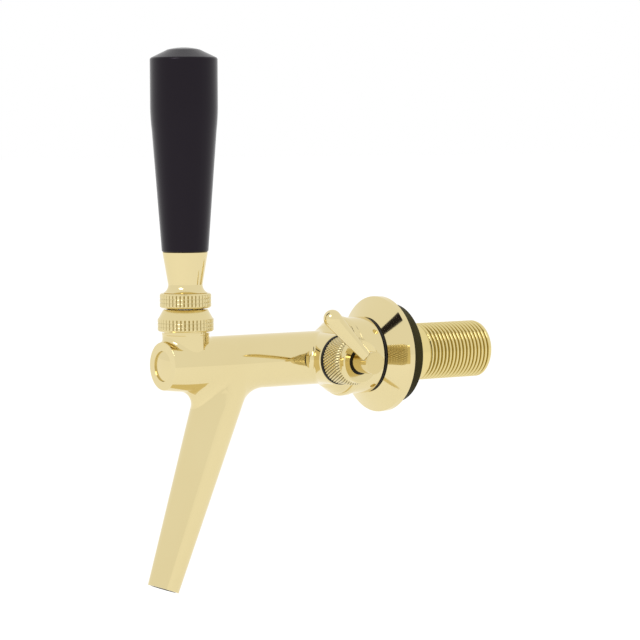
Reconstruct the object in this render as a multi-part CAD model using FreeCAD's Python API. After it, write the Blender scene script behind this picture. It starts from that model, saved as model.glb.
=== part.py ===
import FreeCAD, Part
import math
import os

from FreeCAD import Placement, Rotation, Vector

os.makedirs("parts", exist_ok=True)

# Beer tap with a flow control, for a wall or a column.
# Millimetres. +Z is up, the front of the tap looks along -Y and the wall is at Y = 0.
# The origin lies on the shank's axis in the wall plane. The flow control is on the +X side.
# Lengths are stacked from the wall forwards, from the barrel's axis outwards along the
# flow control, and from the ball joint upwards along the handle.

# Clearances and small edges
RUNNING_GAP = 0.06          # radial gap of a part that turns or slides in its bore
THREAD_GAP = 0.05           # radial gap between a male and a female thread
SEAT_GAP = 0.05             # gap between two static pieces that are pressed together
SEAL_GAP = 0.015            # gap between a round ring and the wall that it slides on
FACE_GAP = 0.2              # gap between two faces that a thread draws together
SWING_GAP = 0.30            # gap that is kept free all the way through a swing
EDGE = 0.4                  # chamfer on an ordinary turned edge
FINE_EDGE = 0.2             # chamfer on a small or thin turned edge
OVERCUT = 1.0               # how far a cutter reaches past the face that it opens

# Shank, with an outside pipe thread of size 5/8
SHANK_THREAD_R = 11.455
SHANK_REACH = 42.0          # from the wall plane to the rear end
SHANK_PLAIN_STEP = 0.455    # the plain length in front of the wall is this much thinner
SHANK_BORE_R = 5.0
SHANK_MOUTH_STEP = 2.4      # the bore widens by this much towards the flow control
SHANK_END_CHAMFER = 1.1
SHANK_COLLAR_STEP = 1.645   # the collar stands this far out from the thread
SHANK_COLLAR_T = 1.8
SHANK_GASKET_T = 1.0
SHANK_COLLAR_R = SHANK_THREAD_R + SHANK_COLLAR_STEP
SHANK_PLAIN_R = SHANK_THREAD_R - SHANK_PLAIN_STEP
SHANK_MOUTH_R = SHANK_BORE_R + SHANK_MOUTH_STEP

# Rubber washer and escutcheon, from the wall forwards
WASHER_R = 19.8
WASHER_T = 8.2
WASHER_EDGE = 0.5
WASHER_SOCKET = 1.8         # how deep the washer sits in the escutcheon
ESCUTCHEON_RIM_W = 3.3      # the rim stands this far out from the washer
ESCUTCHEON_RIM_T = 2.8
ESCUTCHEON_H = 7.8
ESCUTCHEON_WALL = 1.7
ESCUTCHEON_BACK_STEP = 1.5  # width of the seat for the washer
ESCUTCHEON_GASKET_T = 0.9
ESCUTCHEON_R = WASHER_R + ESCUTCHEON_RIM_W
ESCUTCHEON_HOLE_R = SHANK_THREAD_R + SWING_GAP
ESCUTCHEON_RIM_REAR = WASHER_SOCKET - WASHER_T
ESCUTCHEON_FRONT = ESCUTCHEON_RIM_REAR - ESCUTCHEON_H

# Coupling ring that holds the shank to the body
COUPLING_WALL = 1.55
COUPLING_THREAD_STEP = 0.55  # the thread is this much wider than the shank's collar
COUPLING_LIP_T = 1.5
COUPLING_REAR_CHAMFER = 0.8
SPANNER_HOLE_R = 1.15
SPANNER_HOLE_DEPTH = 1.0
SPANNER_HOLE_FROM_REAR = 2.6
SPANNER_HOLE_COUNT = 4
SPANNER_HOLE_ANGLE = 40.5   # of the first hole, above +X
COUPLING_THREAD_R = SHANK_COLLAR_R + COUPLING_THREAD_STEP
COUPLING_R = COUPLING_THREAD_R + COUPLING_WALL
COUPLING_REAR = ESCUTCHEON_FRONT - ESCUTCHEON_GASKET_T - FACE_GAP
ESCUTCHEON_FRONT_R = COUPLING_R - 0.1
ESCUTCHEON_GASKET_R = COUPLING_R - 0.4

# Rear end of the forged body: union spigot, rim and flare
UNION_SPIGOT_L = 5.9
RIM_STEP = 0.6              # the rim stands this far out from the coupling ring
RIM_T = 2.5
RIM_ROUND = 0.35
RIM_SHOULDER = 0.7          # width of the narrow front face of the rim
FLARE_L = 12.3              # from the rim's rear face to where the barrel is straight
FLARE_WAIST_AT = 7.9
FLARE_WAIST_SHARE = 0.34    # of the rise from the barrel to the rim, at the hollow curve's end
FLARE_BROW_AT = 5.3
FLARE_BROW_SHARE = 0.66
UNION_FACE = COUPLING_REAR - COUPLING_LIP_T - FACE_GAP - SHANK_COLLAR_T - SHANK_GASKET_T
RIM_REAR = UNION_FACE - UNION_SPIGOT_L
RIM_R = COUPLING_R + RIM_STEP
UNION_SPIGOT_R = COUPLING_THREAD_R - THREAD_GAP

# Barrel, and where the flow control, the spout and the handle stand along it
BARREL_R = 10.5
BARREL_FRONT_ROUND = 0.3
BARREL_NOSE_STEP = 1.3      # the front face is this much smaller than the barrel
BARREL_NOSE_L = 18.0        # length over which the barrel narrows to its front
FLOW_FROM_RIM = 11.8
SPOUT_FROM_FLOW = 42.4
HANDLE_FROM_SPOUT = 19.6
FRONT_FROM_HANDLE = 10.6
FLOW_Y = RIM_REAR - FLOW_FROM_RIM
SPOUT_Y = FLOW_Y - SPOUT_FROM_FLOW
HANDLE_Y = SPOUT_Y - HANDLE_FROM_SPOUT
BARREL_FRONT = HANDLE_Y - FRONT_FROM_HANDLE

# Spout
SPOUT_TILT = 19.8           # degrees forward of straight down
SPOUT_LENGTH = 90.7         # from the barrel's axis
SPOUT_ROOT_STEP = 0.1       # the spout's root is this much thinner than the barrel
SPOUT_TIP_WALL = 1.1
SPOUT_BORE_R = 5.05
SPOUT_BORE_GROWTH = 1.25    # growth of the bore's radius up to the barrel
SPOUT_BORE_STRAIGHT = 26.0
SPOUT_FRONT_FILLET = 6.5
SPOUT_REAR_FILLET = 12.0
SPOUT_ROOT_R = BARREL_R - SPOUT_ROOT_STEP
SPOUT_TIP_R = SPOUT_BORE_R + SPOUT_TIP_WALL

# Bores of the body along the barrel
PLUG_R = 5.85
PLUG_L = 2.9
PISTON_BORE_R = 6.6
PISTON_SEAT_FROM_SPOUT = 6.5
CHAMBER_STEP = 1.0          # the chamber is this much wider than the piston's bore
SEAT_CONE_FROM_FLOW = 9.7
SEAT_CONE_L = 13.5
SEAT_CONE_STEP = 0.2        # the seat ends this much inside the rear bore
REAR_WALL = 1.5             # wall of the barrel round the rear bore
PISTON_BORE_FRONT = BARREL_FRONT + PLUG_L
PISTON_SEAT_REAR = SPOUT_Y + PISTON_SEAT_FROM_SPOUT
CHAMBER_R = PISTON_BORE_R + CHAMBER_STEP
REAR_BORE_R = BARREL_R - REAR_WALL
SEAT_CONE_REAR = FLOW_Y - SEAT_CONE_FROM_FLOW
SEAT_CONE_FRONT = SEAT_CONE_REAR - SEAT_CONE_L
SEAT_CONE_REAR_R = REAR_BORE_R - SEAT_CONE_STEP

# Front plug
PLUG_RECESS = 0.15
PLUG_SEAL_SECTION_R = 0.48
PLUG_SEAL_FROM_REAR = 1.3
PLUG_DISH_RIM = 0.65
PLUG_DISH_DEPTH = 0.2

# Ball joint of the lever, and the neck that holds it
BALL_R = 6.3
BALL_FROM_BARREL = 2.9      # from the barrel's top to the middle of the ball
LEVER_NECK_R = 3.0
LEVER_FOOT_R = 1.6
LEVER_TIP_R = 3.0
LEVER_FORWARD_DEG = 25.0
LEVER_STUD_R = 4.0
LEVER_STUD_LEAD = 0.6
LEVER_STUD_SHORT = 2.0      # the stud ends this far below the insert's top
NECK_WALL = 1.4
NECK_BORE_GAP = 0.6         # the neck's bore is this much wider than the ball
NECK_LEDGE = 1.3            # width of the ledge that carries the seal under the ball
NECK_RISE = 3.5             # from the ball's middle up to the neck's end
NECK_STEP = 0.7             # the neck stands this far out from its thread
NECK_LIP_STEP = 0.15        # the lip stands this far out from the neck
NECK_LIP_DROP = 1.8         # from the ball's middle down to the lip
NECK_LIP_T = 0.9
NECK_FILLET = 2.0
BALL_SEAL_SECTION_R = 0.8
BALL_SEAL_INSET = 0.09      # gap between the seal and the wall of the neck's bore
FRICTION_RING_RISE = 1.7    # from the ball's middle up to the friction ring
FRICTION_RING_COVER = 0.95  # how far the ring reaches in over the ball
BALL_Z = BARREL_R + BALL_FROM_BARREL
NECK_BORE_R = BALL_R + NECK_BORE_GAP
NECK_THREAD_R = NECK_BORE_R + NECK_WALL
NECK_THROAT_R = NECK_BORE_R - NECK_LEDGE
NECK_R = NECK_THREAD_R + NECK_STEP
NECK_LIP_R = NECK_R + NECK_LIP_STEP
NECK_TOP = BALL_Z + NECK_RISE
BALL_SEAL_CENTRE_R = NECK_BORE_R - BALL_SEAL_SECTION_R - BALL_SEAL_INSET
BALL_SEAL_REACH = BALL_R + BALL_SEAL_SECTION_R + RUNNING_GAP
BALL_SEAL_Z = BALL_Z - math.sqrt(BALL_SEAL_REACH ** 2 - BALL_SEAL_CENTRE_R ** 2)
NECK_BORE_FLOOR = BALL_SEAL_Z - BALL_SEAL_SECTION_R - SEAL_GAP

# Knurled bonnet over the ball joint
BONNET_WALL = 2.35
BONNET_LIP_GAP = 0.6        # the bonnet stays this far above the neck's lip
BONNET_KNURL_L = 5.1
BONNET_CONE_L = 3.2
BONNET_CONE_STEP = 2.1      # fall of the cone's radius
BONNET_LOW = BALL_Z - NECK_LIP_DROP + NECK_LIP_T + BONNET_LIP_GAP
BONNET_SHOULDER_Z = NECK_TOP + 2 * SEAT_GAP
BONNET_KNURL_HIGH = BONNET_LOW + BONNET_KNURL_L
BONNET_TOP = BONNET_KNURL_HIGH + BONNET_CONE_L
BONNET_R = NECK_THREAD_R + THREAD_GAP + BONNET_WALL
BONNET_TOP_R = BONNET_R - BONNET_CONE_STEP

# Knurled lock ring under the handle
LOCK_RING_R = 9.83
LOCK_RING_T = 5.6
LOCK_RING_EDGE = 0.5
LOCK_RING_GAP = 0.6         # the ring's rim stays this far above the bonnet
LOCK_RING_LOW = BONNET_TOP + LOCK_RING_GAP
LOCK_RING_HIGH = LOCK_RING_LOW + LOCK_RING_T

# Handle: ferrule, threaded insert and grip
FERRULE_L = 15.8
FERRULE_FOOT_R = 8.4
FERRULE_WAIST_R = 6.6
FERRULE_WAIST_AT = 3.3
FERRULE_COVE_R = 6.95
FERRULE_COVE_AT = 1.7
FERRULE_TOP_R = 8.7
INSERT_WALL = 1.85
INSERT_L = 16.6
GRIP_FOOT_R = 8.95
GRIP_FOOT_ROUND = 0.6
GRIP_TAPER_L = 46.1
GRIP_TAPER_TOP_R = 12.33
GRIP_SWELL_L = 11.0         # length of the soft curve from the taper to the cylinder
GRIP_R = 12.9
GRIP_CYLINDER_L = 15.7
GRIP_BEVEL_ROUND = 1.0
GRIP_FACET_LOW_R = 12.45
GRIP_FACET_HIGH_R = 6.2
GRIP_FACET_H = 3.0
GRIP_CROWN_H = 0.8
FERRULE_TOP = LOCK_RING_HIGH + FERRULE_L
INSERT_R = LEVER_STUD_R + THREAD_GAP + INSERT_WALL
INSERT_TOP = FERRULE_TOP + INSERT_L
LEVER_STUD_TOP = INSERT_TOP - LEVER_STUD_SHORT

# Valve piston in the barrel
PISTON_FRONT_FROM_HANDLE = 4.7
PISTON_LAND_FROM_HANDLE = 6.8
PISTON_FLAT_Z = 3.2
PISTON_SLOT_DEPTH = 3.5
PISTON_SLOT_GAP = 0.25
PISTON_WAIST_R = 3.0
PISTON_WAIST_FLARE = 1.5
PISTON_HEAD_FROM_SPOUT = 4.3
PISTON_HEAD_L = 5.0
PISTON_HEAD_GAP = 0.15
PISTON_SEAL_SECTION_R = 0.75
PISTON_SEAL_FROM_END = 1.1
FOAM_HOLE_R = 0.5
FOAM_FEED_R = 0.9
PISTON_FRONT = HANDLE_Y - PISTON_FRONT_FROM_HANDLE
PISTON_LAND_REAR = HANDLE_Y + PISTON_LAND_FROM_HANDLE
PISTON_HEAD_FRONT = SPOUT_Y + PISTON_HEAD_FROM_SPOUT
PISTON_HEAD_REAR = PISTON_HEAD_FRONT + PISTON_HEAD_L
PISTON_FRONT_SEAL_Y = PISTON_HEAD_FRONT + PISTON_SEAL_FROM_END
PISTON_REAR_SEAL_Y = PISTON_HEAD_REAR - PISTON_SEAL_FROM_END

# Side boss and gland nut, measured outwards along +X
BOSS_STEP = 0.4             # the boss is this much thinner than the barrel
BOSS_RISE = 4.8             # from the barrel's side to the boss's face
BOSS_FILLET = 1.8
SPOT_FACE_L = 2.0
GLAND_SPIGOT_STEP = 2.2     # the spigot is this much thinner than the boss
GLAND_SPIGOT_L = 6.2
GLAND_GASKET_STEP = 0.35    # the gasket is this much smaller than the boss
GLAND_GASKET_T = 1.2
GLAND_NUT_STEP = 0.62       # the nut is this much smaller than the boss
GLAND_KNURL_L = 8.0
GLAND_STEP_L = 1.7
GLAND_NOSE_STEP = 1.03      # the nose is this much thinner than the nut
GLAND_NOSE_L = 2.9
GLAND_RIM_CHAMFER = 0.5
GLAND_DISH_DEPTH = 0.9
DUST_RING_W = 0.73
DUST_RING_SEAT = 1.3        # from the dish's floor down to the ring's seat
DUST_RING_T = 1.1
BOSS_R = BARREL_R - BOSS_STEP
BOSS_TOP = BARREL_R + BOSS_RISE
GLAND_SPIGOT_R = BOSS_R - GLAND_SPIGOT_STEP
GLAND_GASKET_R = BOSS_R - GLAND_GASKET_STEP
GLAND_NUT_R = BOSS_R - GLAND_NUT_STEP
GLAND_STEP_R = GLAND_NUT_R - GLAND_NOSE_STEP
GLAND_RIM_R = GLAND_STEP_R - GLAND_RIM_CHAMFER
SPIGOT_TOP = BOSS_TOP + GLAND_SPIGOT_L
GLAND_LOW = BOSS_TOP + GLAND_GASKET_T
GLAND_KNURL_TOP = GLAND_LOW + GLAND_KNURL_L
GLAND_STEP_X = GLAND_KNURL_TOP + GLAND_STEP_L
GLAND_TOP = GLAND_STEP_X + GLAND_NOSE_L
GLAND_DISH_X = GLAND_TOP - GLAND_DISH_DEPTH
DUST_RING_FLOOR = GLAND_DISH_X - DUST_RING_SEAT

# Stem of the flow control, with its lever and its eccentric pin
STEM_R = 4.36
STEM_COLLAR_W = 2.24
STEM_COLLAR_T = 1.7
STEM_REACH = 9.0            # the stem stands this far out from the gland nut
STEM_INNER_GAP = 0.7        # from the wall of the rear bore to the stem's inner end
STEM_SEAL_SECTION_R = 0.55
STEM_SEAL_INSET = 1.1       # the inner ring lies this far inside the boss's face
STEM_SEAL_PITCH = 4.4
THRUST_WASHER_GAP = 0.5     # the washer is this much smaller than the nut's bore
THRUST_WASHER_T = 0.7
ECCENTRICITY = 2.5
PIN_R = 1.4
PIN_PROUD = 3.5             # length of the pin outside the stem
PIN_SEAT = 2.9              # length of the pin inside the stem
PIN_EDGE = 0.25
FLOW_LEVER_FROM_END = 2.55
FLOW_LEVER_RISE = 43.8      # degrees above straight forward
FLOW_LEVER_ROOT_R = 2.1
FLOW_LEVER_HEAD_R = 3.45
FLOW_LEVER_NECK_STEP = 0.05
FLOW_LEVER_NECK_L = 1.2
FLOW_LEVER_L = 25.9         # from the stem's axis to the widest place of the head
FLOW_LEVER_DOME_H = 3.2
FLOW_LEVER_SPIGOT_R = 1.5
FLOW_LEVER_SPIGOT_L = 2.5   # the spigot reaches this far past the stem's axis
STEM_INNER_END = REAR_BORE_R + STEM_INNER_GAP
STEM_OUTER_END = GLAND_TOP + STEM_REACH
STEM_SEAL_X = (BOSS_TOP - STEM_SEAL_INSET, BOSS_TOP - STEM_SEAL_INSET + STEM_SEAL_PITCH)
STEM_COLLAR_LOW = SPIGOT_TOP + RUNNING_GAP
STEM_COLLAR_HIGH = STEM_COLLAR_LOW + STEM_COLLAR_T
THRUST_WASHER_LOW = STEM_COLLAR_HIGH + RUNNING_GAP
FLOW_LEVER_X = STEM_OUTER_END - FLOW_LEVER_FROM_END

# Compensator cone, moved along the barrel by the flow control
CONE_GAP = 0.6
CONE_NOSE_R = 5.0
CONE_NOSE_ROUND = 1.5
CONE_SHOULDER_FROM_FLOW = 8.2
CONE_CORE_R = 4.4
CONE_FLANGE_T = 1.4
CONE_FLANGE_GAP = 1.2       # the flange is this much smaller than the rear bore
CONE_SLOT_GAP = 0.3
CONE_TAIL_L = 10.8          # from the flow control's axis to the tail's end
CONE_FIN_T = 1.6
CONE_FIN_COUNT = 4


def along_z(y):
    """Frame of a part turned about a vertical axis at Y = y."""
    return Placement(Vector(0, y, 0), Rotation())


def along_y():
    """Frame of a part turned about the barrel's axis."""
    return Placement(Vector(0, 0, 0), Rotation(Vector(1, 0, 0), -90))


def along_x():
    """Frame of a part turned about the flow control's axis."""
    return Placement(Vector(0, FLOW_Y, 0), Rotation(Vector(0, 1, 0), 90))


def along_spout():
    """Frame of a part turned about the spout's axis, from the barrel outwards."""
    return Placement(Vector(0, SPOUT_Y, 0), Rotation(Vector(1, 0, 0), 180 - SPOUT_TILT))


def along_flow_lever():
    """Frame of a part turned about the flow lever's axis, from the stem outwards."""
    turn = Rotation(Vector(1, 0, 0), 90 - FLOW_LEVER_RISE)
    return Placement(Vector(FLOW_LEVER_X, FLOW_Y, 0), turn)


def turned(frame, outline):
    """Solid of revolution. The outline is a closed loop of (radius, height) points.

    A point given as (radius, height, mid_radius, mid_height) ends an arc that passes
    through the middle point.
    """
    edges = []
    start = Vector(outline[0][0], 0, outline[0][1])
    for point in outline[1:] + outline[:1]:
        end = Vector(point[0], 0, point[1])
        if len(point) == 4:
            middle = Vector(point[2], 0, point[3])
            edges.append(Part.Arc(start, middle, end).toShape())
        elif start.distanceToPoint(end) > 1e-7:
            edges.append(Part.LineSegment(start, end).toShape())
        start = end
    face = Part.Face(Part.Wire(edges))
    solid = face.revolve(Vector(0, 0, 0), Vector(0, 0, 1), 360)
    solid.Placement = frame
    return solid


def tube(frame, inner_r, outer_r, low, high, edge=0.0):
    """Turned ring with an optional chamfer on its outer edges."""
    outline = [(inner_r, low), (outer_r - edge, low), (outer_r, low + edge)]
    outline += [(outer_r, high - edge), (outer_r - edge, high), (inner_r, high)]
    return turned(frame, outline)


def rod(frame, radius, low, high):
    """Turned rod with square ends."""
    return turned(frame, [(0, low), (radius, low), (radius, high), (0, high)])


def cap_middle(rim_r, rim_height, top_height):
    """Middle point of a round cap's arc, from its rim to its top on the axis."""
    rise = top_height - rim_height
    cap_r = (rim_r ** 2 + rise ** 2) / (2 * rise)
    half_angle = math.atan2(rim_r, cap_r - rise) / 2
    return cap_r * math.sin(half_angle), top_height - cap_r * (1 - math.cos(half_angle))


def bulged(start, end, bulge):
    """End of an arc between two (radius, height) points, bulged by a share of its chord."""
    rise = end[1] - start[1]
    run = end[0] - start[0]
    middle = ((start[0] + end[0]) / 2 + bulge * rise, (start[1] + end[1]) / 2 - bulge * run)
    return (end[0], end[1], middle[0], middle[1])


def seal_ring(frame, centre_r, section_r, height):
    """Ring of round section."""
    ring = Part.makeTorus(centre_r, section_r)
    ring.Placement = frame.multiply(Placement(Vector(0, 0, height), Rotation()))
    return ring


def edges_where(shape, test):
    """Edges of the shape whose sampled points all pass the test."""
    found = []
    for edge in shape.Edges:
        points = edge.discretize(7)
        if all(test(point) for point in points):
            found.append(edge)
    return found


def radius_from(point, frame):
    """Distance of a point from a frame's axis."""
    local = frame.inverse().multVec(point)
    return math.hypot(local.x, local.y)


def near(value, target, tolerance=0.02):
    """True when two lengths agree."""
    return abs(value - target) < tolerance


def spout_radius(distance):
    """Outside radius of the spout at a distance along its axis."""
    share = distance / SPOUT_LENGTH
    return SPOUT_ROOT_R + share * (SPOUT_TIP_R - SPOUT_ROOT_R)


def swing_reach(height):
    """Radius that the lever's neck needs at a height, when the lever is pulled forward."""
    tilt = math.radians(LEVER_FORWARD_DEG)
    return (height - BALL_Z) * math.tan(tilt) + LEVER_NECK_R / math.cos(tilt) + SWING_GAP


def piston_travel():
    """Travel of the piston from closed to fully open."""
    return (BALL_Z - SEAT_GAP) * math.radians(LEVER_FORWARD_DEG)


def barrel_radius(y):
    """Outside radius of the barrel, which narrows in a long curve to its front."""
    into_nose = BARREL_FRONT + BARREL_NOSE_L - y
    if into_nose <= 0:
        return BARREL_R
    curve_r = (BARREL_NOSE_L ** 2 + BARREL_NOSE_STEP ** 2) / (2 * BARREL_NOSE_STEP)
    return BARREL_R - curve_r + math.sqrt(curve_r ** 2 - into_nose ** 2)


def barrel_blank():
    """Barrel with its narrowing nose and a small round on the front edge."""
    nose_low = BARREL_FRONT + BARREL_FRONT_ROUND
    nose_high = BARREL_FRONT + BARREL_NOSE_L
    middle = (nose_low + nose_high) / 2
    face_edge = (barrel_radius(nose_low) - BARREL_FRONT_ROUND, BARREL_FRONT)
    nose_edge = (barrel_radius(nose_low), nose_low)
    outline = [(0, BARREL_FRONT), face_edge, bulged(face_edge, nose_edge, 0.2)]
    outline += [(BARREL_R, nose_high, barrel_radius(middle), middle)]
    outline += [(BARREL_R, RIM_REAR), (0, RIM_REAR)]
    return turned(along_y(), outline)


def rear_blank():
    """Flare at the rear of the barrel, the rim and the spigot for the coupling ring."""
    foot = (BARREL_R, RIM_REAR - FLARE_L)
    rise = RIM_R - BARREL_R
    waist = (BARREL_R + FLARE_WAIST_SHARE * rise, RIM_REAR - FLARE_WAIST_AT)
    brow = (BARREL_R + FLARE_BROW_SHARE * rise, RIM_REAR - FLARE_BROW_AT)
    top = (RIM_R - 1.3 * RIM_SHOULDER, RIM_REAR - RIM_T - FACE_GAP)
    shoulder = (RIM_R - RIM_SHOULDER, top[1])
    crest = (RIM_R, RIM_REAR - RIM_T + RIM_ROUND)
    outline = [(0, foot[1]), foot, bulged(foot, waist, -0.13), brow, bulged(brow, top, 0.12)]
    outline += [shoulder, bulged(shoulder, crest, 0.2)]
    outline += [(RIM_R, RIM_REAR - RIM_ROUND), (RIM_R - RIM_ROUND, RIM_REAR)]
    outline += [(UNION_SPIGOT_R, RIM_REAR), (UNION_SPIGOT_R, UNION_FACE - EDGE)]
    outline += [(UNION_SPIGOT_R - EDGE, UNION_FACE), (0, UNION_FACE)]
    return turned(along_y(), outline)


def spout_blank():
    """Outside of the spout, cut square to its axis, with its seam on the -X side."""
    outline = [(0, 0), (SPOUT_ROOT_R, 0), (SPOUT_TIP_R, SPOUT_LENGTH), (0, SPOUT_LENGTH)]
    half_turn = Placement(Vector(0, 0, 0), Rotation(Vector(0, 0, 1), 180))
    return turned(along_spout().multiply(half_turn), outline)


def barrel_with_spout():
    """Barrel and spout as one forging, the fillet growing from the front to the rear."""
    blank = barrel_blank().fuse(spout_blank())
    size = 4 * SPOUT_LENGTH
    keep = Part.makeBox(size, size, size, Vector(0, SPOUT_Y - size / 2, -size / 2))
    half = blank.common(keep)
    spout = along_spout()

    def on_both(point):
        distance = spout.inverse().multVec(point).z
        on_barrel = near(radius_from(point, along_y()), barrel_radius(point.y))
        return on_barrel and near(radius_from(point, spout), spout_radius(distance))

    joint = edges_where(half, on_both)
    first = joint[0].valueAt(joint[0].FirstParameter)
    last = joint[0].valueAt(joint[0].LastParameter)
    radii = (SPOUT_FRONT_FILLET, SPOUT_REAR_FILLET)
    if first.y > last.y:
        radii = (SPOUT_REAR_FILLET, SPOUT_FRONT_FILLET)
    half = half.makeFillet(radii[0], radii[1], joint)
    other = half.mirror(Vector(0, 0, 0), Vector(1, 0, 0))
    return half.fuse(other).removeSplitter()


def neck_blank():
    """Vertical neck with its lip and the male thread for the bonnet."""
    lip_low = BALL_Z - NECK_LIP_DROP
    lip_high = lip_low + NECK_LIP_T
    outline = [(0, 0), (NECK_R, 0), (NECK_R, lip_low), (NECK_LIP_R, lip_low + FINE_EDGE)]
    outline += [(NECK_LIP_R, lip_high), (NECK_THREAD_R, lip_high)]
    outline += [(NECK_THREAD_R, NECK_TOP - EDGE), (NECK_THREAD_R - EDGE, NECK_TOP), (0, NECK_TOP)]
    return turned(along_z(HANDLE_Y), outline)


def boss_blank():
    """Side boss and the threaded spigot for the knurled gland nut."""
    outline = [(0, 0), (BOSS_R, 0), (BOSS_R, BOSS_TOP - EDGE), (BOSS_R - EDGE, BOSS_TOP)]
    outline += [(GLAND_SPIGOT_R, BOSS_TOP), (GLAND_SPIGOT_R, SPIGOT_TOP - EDGE)]
    outline += [(GLAND_SPIGOT_R - EDGE, SPIGOT_TOP), (0, SPIGOT_TOP)]
    return turned(along_x(), outline)


def main_bore():
    """Bores along the barrel, from the plug hole to the union face."""
    front = BARREL_FRONT - OVERCUT
    rear = UNION_FACE + OVERCUT
    outline = [(0, front), (PLUG_R, front), (PLUG_R, PISTON_BORE_FRONT)]
    outline += [(PISTON_BORE_R, PISTON_BORE_FRONT), (PISTON_BORE_R, PISTON_SEAT_REAR)]
    outline += [(CHAMBER_R, PISTON_SEAT_REAR + CHAMBER_STEP), (CHAMBER_R, SEAT_CONE_FRONT)]
    outline += [(SEAT_CONE_REAR_R, SEAT_CONE_REAR), (REAR_BORE_R, SEAT_CONE_REAR)]
    outline += [(REAR_BORE_R, rear), (0, rear)]
    return turned(along_y(), outline)


def neck_bore():
    """Ball seat bore and the throat that opens to the barrel."""
    top = NECK_TOP + OVERCUT
    outline = [(0, 0), (NECK_THROAT_R, 0), (NECK_THROAT_R, NECK_BORE_FLOOR)]
    outline += [(NECK_BORE_R, NECK_BORE_FLOOR), (NECK_BORE_R, top), (0, top)]
    return turned(along_z(HANDLE_Y), outline)


def spout_bore():
    """Beer way through the spout: tapered at the root, straight at the outlet."""
    straight = SPOUT_LENGTH - SPOUT_BORE_STRAIGHT
    end = SPOUT_LENGTH + OVERCUT
    outline = [(0, 0), (SPOUT_BORE_R + SPOUT_BORE_GROWTH, 0), (SPOUT_BORE_R, straight)]
    outline += [(SPOUT_BORE_R, end), (0, end)]
    return turned(along_spout(), outline)


def make_tap_body():
    """Forged and bored body. The boss is spot-faced for its gasket, into the rim's edge."""
    flow = along_x()
    neck = along_z(HANDLE_Y)

    def at_boss_root(point):
        on_boss = near(radius_from(point, flow), BOSS_R)
        return on_boss and near(radius_from(point, along_y()), BARREL_R) and point.x > 0

    def at_neck_root(point):
        on_neck = near(radius_from(point, neck), NECK_R)
        on_barrel = near(radius_from(point, along_y()), barrel_radius(point.y))
        return on_neck and on_barrel and point.z > 0

    body = barrel_with_spout().fuse(boss_blank()).removeSplitter()
    body = body.makeFillet(BOSS_FILLET, edges_where(body, at_boss_root))
    body = body.fuse(neck_blank()).removeSplitter()
    body = body.makeFillet(NECK_FILLET, edges_where(body, at_neck_root))
    body = body.fuse(rear_blank())
    stem_bore = rod(flow, STEM_R + RUNNING_GAP, 0, SPIGOT_TOP + OVERCUT)
    spot_face = tube(flow, GLAND_SPIGOT_R, BOSS_R + SWING_GAP, BOSS_TOP, BOSS_TOP + SPOT_FACE_L)
    for cutter in (main_bore(), neck_bore(), spout_bore(), stem_bore, spot_face):
        body = body.cut(cutter)
    return body.removeSplitter()


def make_front_plug():
    """Screw plug that closes the front of the barrel, with a shallow dished face."""
    face = BARREL_FRONT + PLUG_RECESS
    radius = PLUG_R - THREAD_GAP
    dish_r = radius - PLUG_DISH_RIM
    groove_y = PISTON_BORE_FRONT - PLUG_SEAL_FROM_REAR
    half = PLUG_SEAL_SECTION_R + SEAT_GAP
    groove_r = PLUG_R - 2 * half
    outline = [(0, face + PLUG_DISH_DEPTH), (dish_r - PLUG_DISH_DEPTH, face + PLUG_DISH_DEPTH)]
    outline += [(dish_r, face), (radius - FINE_EDGE, face), (radius, face + FINE_EDGE)]
    outline += [(radius, groove_y - half), (groove_r, groove_y - half)]
    outline += [(groove_r, groove_y + half), (radius, groove_y + half)]
    outline += [(radius, PISTON_BORE_FRONT), (0, PISTON_BORE_FRONT)]
    return turned(along_y(), outline)


def make_front_plug_seal():
    """Round ring in the plug's groove."""
    centre = PLUG_R - PLUG_SEAL_SECTION_R - SEAL_GAP
    height = PISTON_BORE_FRONT - PLUG_SEAL_FROM_REAR
    return seal_ring(along_y(), centre, PLUG_SEAL_SECTION_R, height)


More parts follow.
